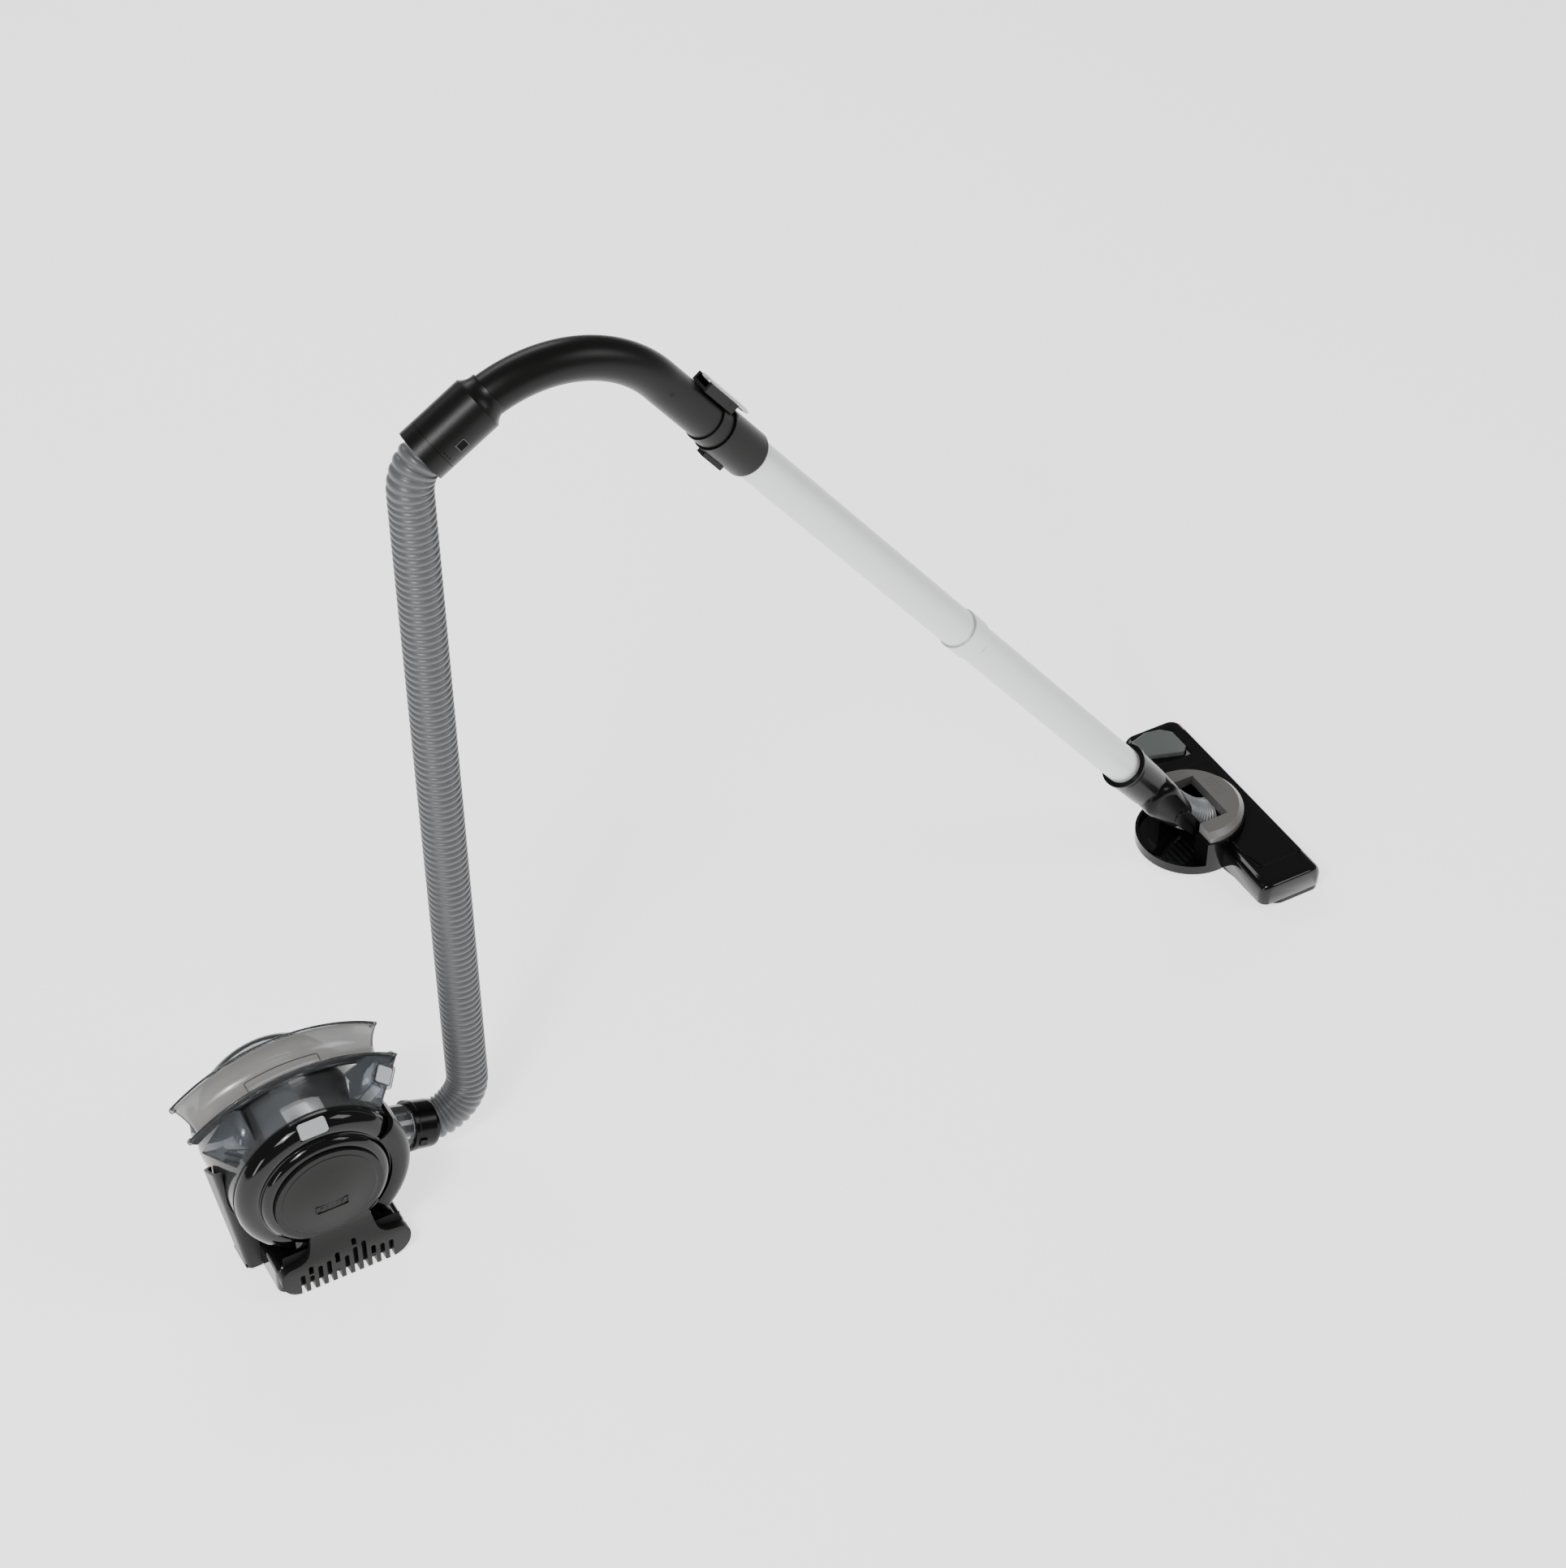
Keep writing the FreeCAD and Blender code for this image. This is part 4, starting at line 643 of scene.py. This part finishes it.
# outline of the long raised panel in the floor of the trough
PANEL_MIDDLE, PANEL_HALF_ANGLE = 92, 13.64
PANEL_HALF_WIDTH, PANEL_RADIUS = 7.0, 19.2
panel = []
for i in range(49):
    t = math.tau * i / 48
    angle = PANEL_MIDDLE + PANEL_HALF_ANGLE * max(-1, min(1, 1.35 * math.cos(t)))
    side = PANEL_HALF_WIDTH * max(-1, min(1, 1.5 * math.sin(t)))
    depth = math.sqrt(PANEL_RADIUS ** 2 - side ** 2)
    panel.append(trough_point(angle, 160.5 - depth, TROUGH_Y + side))
bead("trough_panel_line", panel, 0.5, SMOKE_EDGE)

# ------------------------------------------------------------------ wing details


def wing_frame(corners, middle, turn):
    """A frame on a wing's outer face: local Z points outwards, turned about it by an angle."""
    a, b, c = [Vector(p) for p in corners[:3]]
    out = (b - a).cross(c - a).normalized()
    if out.y > 0:
        out = -out
    across = Vector((0, 0, 1)).cross(out).normalized()
    up = out.cross(across)
    place = Matrix((across, up, out)).transposed().to_4x4()
    return Matrix.Translation(middle) @ place @ Matrix.Rotation(math.radians(turn), 4, "Z")


def outline_bead(name, corners):
    """A thin rounded edge along a flat polygon of points in the row frame."""
    ring = []
    n = len(corners)
    for i in range(n):
        here = Vector(corners[i])
        before = Vector(corners[i - 1]) - here
        after = Vector(corners[(i + 1) % n]) - here
        first = here + before.normalized() * EDGE_ROUNDING
        last = here + after.normalized() * EDGE_ROUNDING
        ring += [on_curve(first, here, last, k / 5) for k in range(6)]
    bead(name, ring + ring[:1], 0.8, SMOKE_EDGE)


RIGHT_WING = [(93, -36, 171), (62, -67, 150), (38, -67, 165), (40, -45, 184), (66, -36, 185)]
LEFT_WING = [(-86, -36, 147), (-62, -67, 142), (-46, -67, 160), (-48, -38, 182), (-62, -36, 180)]
EDGE_ROUNDING = 2.0
outline_bead("right_wing_edge", RIGHT_WING[:3])
outline_bead("left_wing_edge", LEFT_WING[:3])

WING_HAZE = clear_plastic("wing_haze", (0.66, 0.69, 0.73), (0.16, 0.175, 0.19), 0.30, rough=0.10)


def wing_skin(name, corners):
    """A tinted skin on a wing's outer face, with its corners rounded."""
    place = wing_frame(corners, corners[0], 0)
    flat = [place.inverted() @ Vector(p) for p in corners]
    ring = round_corners([(p.x, p.y) for p in flat], 3.0)
    area = sum(a[0] * b[1] - b[0] * a[1] for a, b in zip(ring, ring[1:] + ring[:1]))
    return slab(name, ring if area > 0 else ring[::-1], 0.1, 0.4, place, WING_HAZE, "canister", 0)


wing_skin("right_wing_skin", RIGHT_WING)
wing_skin("left_wing_skin", LEFT_WING)

KEY_TURN = 38.0
key_place = wing_frame(RIGHT_WING, (75.24, -46.92, 166.86), KEY_TURN)
key_square = round_box(-7.2, -7.2, 7.2, 7.2, 2.8)
slab("door_key_cap", key_square, -2.6, 3.2, key_place, BUTTON, "door_key", 0.9,
     stands_for=["door_latch_button"])
surround_out = round_box(-11, -11, 10.2, 10.2, 4.4)
surround_in = round_box(-7.7, -7.7, 7.7, 7.7, 3.0)
slab("door_key_surround", surround_out, -0.6, 1.7, key_place, SMOKE, "canister", 0.5,
     holes=[surround_in])
slab("door_key_gap", round_box(-8.6, -8.6, 8.6, 8.6, 3.2), 1.6, 2.1, key_place, SMOKE_EDGE,
     "canister", 0, holes=[surround_in])

rib_place = wing_frame(LEFT_WING, (-63, -60.5, 148.5), 0)
for i, across in enumerate((-3.2, 3.2)):
    slab(f"left_wing_rib_{i}", round_box(-13, across - 1.3, 9, across + 1.3, 1.2), -0.4, 0.8,
         rib_place, SMOKE_EDGE, "canister", 0.3)

# ------------------------------------------------------------------ holster and shroud


def holster():
    """An open-topped pocket whose U section leans outwards and follows the bowl."""
    levels = 40
    count = 26
    wall, rounding, lean = 2.8, 6.0, 0.138
    bottom, top = 3.0, 134.0
    verts, faces = [], []
    for level in range(levels + 1):
        t = level / levels
        ring = []
        for side in range(2):
            inset = 0.0 if side == 0 else wall
            y0, y1 = -54.0 + inset, -22.0 - inset
            shift = lean * (bottom + 120 * t)
            outer = -67.5 - shift + inset
            turns = [math.pi / 2 * k / 11 for k in range(12)]
            corner = outer + rounding
            path = [(None, y0)]
            path += [(corner - rounding * math.sin(a), y0 + rounding - rounding * math.cos(a))
                     for a in turns]
            path += [(corner - rounding * math.cos(a), y1 - rounding + rounding * math.sin(a))
                     for a in turns]
            path += [(None, y1)]
            points = []
            for x, y in path:
                z = bottom + t * (top - 0.72 * (y + 54) - bottom)
                reach = 76.8 ** 2 - min(0.0, z - 105) ** 2
                end = min(-54.2, -math.sqrt(max(reach, 0.0)))
                points.append((end if x is None else min(x, end), y, z))
            ring += points if side == 0 else points[::-1]
        verts += ring
    n = 2 * count
    for level in range(levels):
        a, b = level * n, (level + 1) * n
        for k in range(n):
            j = (k + 1) % n
            faces.append((a + k, a + j, b + j, b + k))
    for k in range(count - 1):
        for base in (0, levels * n):
            faces.append((base + k, base + k + 1, base + n - 2 - k, base + n - 1 - k))
    return add_piece("holster_shell", verts, faces, MATTE, "canister",
                     stands_for=["nozzle_holster"])


soften(holster(), 0.9, angle=50)
block("holster_floor", (-68.5, -52, 3), (14.5, 28, 3), FRAME_ROW, MATTE, "canister", 0.8)

# the shroud's section as (radius, height) about the drum's axis
SHROUD_OUTLINE = ([(60.4, 87.9), (64.5, 88.8)]
                  + [(69.0 + 11.5 * math.sin(a), 77.3 + 11.5 * math.cos(a))
                     for a in [math.radians(10 + 80 * k / 10) for k in range(11)]]
                  + [(80.6, 52.0), (77.0, 50.5), (77.0, 74.6), (75.0, 79.7), (71.5, 84.2),
                     (66.2, 86.8), (60.4, 87.3)])
shroud = lathe("shroud_cover", SHROUD_OUTLINE, FRAME_DRUM, MATTE, "canister", segments=60,
               start=-44, sweep=76, stands_for=["side_shroud"])
soften(shroud, 1.6, angle=50)

# ------------------------------------------------------------------ handle details

# painted shade: a near-black, low-shine colour on the cuff window's block stands in for the shade in
# its recess; the three dots use the same dark colour
WINDOW_SHADE_AND_DOTS = material("painted_window_shade_and_dots", (0.0015, 0.0015, 0.0015), 0.7, vary=0.05, specular=0.1)
# painted highlight: a grey lighter than the black cuff stands in for the light caught on the
# window's rim
RIM_HIGHLIGHT_GREY = material("painted_rim_highlight", (0.03, 0.03, 0.03), 0.35, vary=0.05)
NEAR = Matrix.Rotation(math.radians(90), 4, "X")
near_cuff = FRAME_CUFF @ Matrix.Translation((0, -23.0, 30)) @ NEAR
# the rim block's lighter grey is a painted highlight round the window
block("cuff_window_rim", (-4.2, -4.7, -0.6), (8.4, 8.9, 0.75), near_cuff, RIM_HIGHLIGHT_GREY, "handle", 0.2)
# the window block's dark colour is painted recess shade
block("cuff_window", (-3.5, -4.0, -0.55), (7, 7.5, 0.95), near_cuff, WINDOW_SHADE_AND_DOTS, "handle", 0.2)
for i in range(3):
    block(f"cuff_dot_{i}", (-6.0 + 3.2 * i, -14.5, -0.3), (1.1, 1.1, 0.5), near_cuff, WINDOW_SHADE_AND_DOTS,
          "handle", 0.2)

# ------------------------------------------------------------------ wand lever

lever_outline = round_box(-7.3, -45, 7.3, 12, 5.5)
lever_place = FRAME_WAND @ Matrix(((0, 0, -1, 0), (1, 0, 0, 0), (0, 1, 0, 0), (0, 0, 0, 1)))
slab("lever_cap", lever_outline, 24.3, 26.9, lever_place, LEVER, "lever", 1.1,
     stands_for=["latch_lever"])
lever_web = round_box(-4.6, -36, 4.6, 8, 3.0)
slab("lever_web", lever_web, 23.4, 24.6, lever_place, SATIN, "lever", 0.6)

# ------------------------------------------------------------------ flexible duct

duct_from = FRAME_WAND @ Vector((0, 0, 777.5))
duct_turn = FRAME_WAND @ Vector((0, 0, 836.9))
duct_to = Vector((962.4, 0, 25.0))
duct_curve = [on_curve(duct_from, duct_turn, duct_to, i / 60) for i in range(61)]
duct_points, _ = resample(duct_curve, 0.75)
DUCT_VALLEY, DUCT_RIB, POINTS_PER_RIB = 15.2, 1.8, 6
duct_radii = [DUCT_VALLEY + DUCT_RIB * (0.5 - 0.5 * math.cos(math.tau * i / POINTS_PER_RIB))
              for i in range(len(duct_points))]
sweep_tube("duct_ribbed", duct_points, duct_radii, DUCT, "floor_head", segments=40,
           stands_for=["flexible_duct"])

# ------------------------------------------------------------------ floor head details

PEDAL_RING = round_corners([(947, 90), (985, 77), (991, 83), (991, 107), (982, 116), (966, 119),
                            (947, 114)], 3.0)


def grown(ring, by):
    """A closed outline moved outwards by a distance, for outlines drawn anticlockwise."""
    out = []
    n = len(ring)
    for i, here in enumerate(ring):
        before, after = Vector(ring[i - 1]), Vector(ring[(i + 1) % n])
        along = (after - before).normalized()
        out.append((here[0] + along.y * by, here[1] - along.x * by))
    return out


def head_section(inset, drop):
    """The head's cross-section in (x, z): straight sides under large rounded shoulders."""
    front, rear, top = 1013.0 - inset, 944.0 + inset, 31.0 - drop
    bottom, front_round, rear_round = 8.0, 12.0, 8.0
    points = [(rear, bottom), (front, bottom)]
    points += arc_points((front - front_round, top - front_round), front_round, 0, 90, 10)
    points += arc_points((rear + rear_round, top - rear_round), rear_round, 90, 180, 8)
    return points


def head_cover():
    """The head's upper shell: one cross-section along Y with rounded ends."""
    turns = [math.pi / 2 * k / 10 for k in range(11)]
    near_end, far_end, end_round, dip = -119.0, 127.0, 9.0, 3.4
    near = [(near_end + end_round * (1 - math.cos(t)), 1 - math.sin(t)) for t in turns]
    stations = near + [(near_end + far_end - y, share) for y, share in reversed(near)]
    verts, faces = [], []
    for y, share in stations:
        verts += [(x, y, z) for x, z in head_section(end_round * share, dip * share ** 2)]
    n = len(head_section(0, 0))
    for i in range(len(stations) - 1):
        a, b = i * n, (i + 1) * n
        for k in range(n):
            j = (k + 1) % n
            faces.append((a + k, a + j, b + j, b + k))
    faces.append(tuple(range(n))[::-1])
    faces.append(tuple(range((len(stations) - 1) * n, len(stations) * n)))
    return add_piece("head_cover", verts, faces, GLOSS, "floor_head",
                     stands_for=["head_top"])


def carve(obj, *cutters):
    """Takes other meshes out of a piece, then removes them."""
    for cutter in cutters:
        tool = obj.modifiers.new("carve", "BOOLEAN")
        tool.object = cutter
        tool.operation = "DIFFERENCE"
        tool.solver = "EXACT"
    bake_shape(obj)
    for cutter in cutters:
        bpy.data.objects.remove(cutter)


def cutter_block(corner, dims):
    """A block that is only used to cut the head's cover."""
    return block("cutter", corner, dims, FRAME_ROW, GLOSS, "floor_head", 0.05)


cover = head_cover()
carve(cover,
      slab("cutter", grown(PEDAL_RING, 0.9), 23.0, 40.0, FRAME_ROW, GLOSS, "floor_head", 0),
      slab("cutter", arc_points((940.0, 0.0), 52.1, 0, 354, 118), 0.0, 50.0, FRAME_ROW, GLOSS,
           "floor_head", 0),
      cutter_block((1004.0, -97.0, 0.0), (6.0, 202.0, 15.0)),
      cutter_block((949.5, -84.5, 0.0), (17.0, 9.0, 15.5)),
      cutter_block((949.5, 83.5, 0.0), (17.0, 9.0, 15.5)))
soften(cover, 0.4, segments=2, angle=50)

# seam round the inset top panel as a bead in the lighter face grey, a painted highlight along the
# groove, and a generic frame on the cap
seam = round_box(955, -92, 1002, 60, 7.0)
bead("head_seam_highlight", [Vector((x, y, 31.75)) for x, y in seam + seam[:1]], 0.35, FACE, "floor_head")
cap_frame = round_box(-4.6, -12, 4.6, 12, 0.8)
cap_frame_in = round_box(-3.7, -11.1, 3.7, 11.1, 0.5)
cap_place = Matrix.Translation((972.5, 8, 0))
slab("cap_frame", cap_frame, 50.9, 51.35, cap_place, TAUPE, "floor_head", 0.1,
     holes=[cap_frame_in])
for i in range(4):
    dash = round_box(-1.8, -8.6 + 4.7 * i, 1.8, -5.6 + 4.7 * i, 0.6)
    slab(f"cap_bar_{i}", dash, 50.9, 51.3, cap_place, TAUPE, "floor_head", 0.1)

# ------------------------------------------------------------------ neck

PIVOT = FRAME_WAND @ Vector((0, 0, 835.7))


def two_circle_hull(a, ra, b, rb):
    """The outline of a belt round two circles in the plane of X and Z."""
    (ax, az), (bx, bz) = a, b
    heading = math.degrees(math.atan2(bz - az, bx - ax))
    lean = math.degrees(math.acos((ra - rb) / math.hypot(bx - ax, bz - az)))
    return (arc_points(b, rb, heading - lean, heading + lean, 28)
            + arc_points(a, ra, heading + lean, heading + 360 - lean, 28))


def neck_slab(name, outline, y0, y1, mat, round_by, stands_for=()):
    """A plate in the XZ plane between two values of Y."""
    return slab(name, outline, -y1, -y0, NEAR, mat, "neck", round_by, stands_for=stands_for)


collar_at = FRAME_WAND @ Vector((0, 0, 757))
crown_at = collar_at.lerp(PIVOT, 0.42)
neck_slab("neck_hood", two_circle_hull((collar_at.x, collar_at.z), 19.5,
                                       (crown_at.x, crown_at.z), 15.0),
          -25.0, 25.0, SATIN, 9.0, stands_for=["neck_yoke"])
for side, (y0, y1) in (("near", (-26.4, -20.6)), ("far", (20.6, 26.4))):
    neck_slab(f"neck_arm_{side}", two_circle_hull((crown_at.x, crown_at.z), 9.0,
                                                  (PIVOT.x, PIVOT.z), 6.5),
              y0, y1, SATIN, 1.6)

# rounded edges on pieces that keep their CAD shape
CAD_ROUNDING = {
    "base_shell": 0.5, "turret_base": 0.8, "turret_cap": 0.9, "release_button": 0.5,
    "lever_bracket": 0.8, "tube_collar": 0.5, "handle_tube": 0.5, "hose_cuff_ring": 0.5,
    "pedal": 0.4, "hose_coupler": 0.5,
}
for name, width in CAD_ROUNDING.items():
    soften(NODES[name], width, segments=3, angle=40)

# ------------------------------------------------------------------ floor and light

floor_mesh = bpy.data.meshes.new("studio_floor")
floor_mesh.from_pydata([(-9, -9, 0), (10, -9, 0), (10, 9, 0), (-9, 9, 0)], [], [(0, 1, 2, 3)])
floor = bpy.data.objects.new("studio_floor", floor_mesh)
paper = material("floor_paper", (0.9, 0.9, 0.9), 0.8, vary=0.01, specular=0.1)
paper_shader = paper.node_tree.nodes["Principled BSDF"]
paper_shader.inputs["Emission Color"].default_value = (1, 1, 1, 1)
paper_shader.inputs["Emission Strength"].default_value = 1.5
floor.data.materials.append(paper)
bpy.context.scene.collection.objects.link(floor)

world = bpy.data.worlds.new("studio_world")
world.use_nodes = True
backdrop = world.node_tree.nodes["Background"]
backdrop.inputs["Color"].default_value = (1, 1, 1, 1)
backdrop.inputs["Strength"].default_value = 0.24
bpy.context.scene.world = world


def area_light(name, place, target, width, height, watts):
    """A rectangular lamp turned towards a target, with its sides in metres."""
    light = bpy.data.lights.new(name, "AREA")
    light.shape = "RECTANGLE"
    light.size, light.size_y = width, height
    light.energy = watts
    obj = bpy.data.objects.new(name, light)
    obj.location = place
    obj.rotation_euler = (Vector(target) - Vector(place)).to_track_quat("-Z", "Y").to_euler()
    bpy.context.scene.collection.objects.link(obj)


area_light("key_light", (-1.2, -1.3, 2.6), (0.3, 0, 0.2), 0.9, 1.3, 42)
area_light("fill_light", (2.2, -1.4, 2.2), (0.5, 0, 0.2), 1.0, 1.2, 22)
area_light("back_light", (0.5, 2.2, 2.2), (0.4, 0, 0.3), 2.2, 0.9, 30)
area_light("left_window", (-1.75, -1.15, 0.55), (-0.05, -0.08, 0.12), 0.3, 0.8, 7)
area_light("high_window", (-0.9, -1.0, 2.0), (0.0, -0.08, 0.15), 0.22, 0.22, 16)
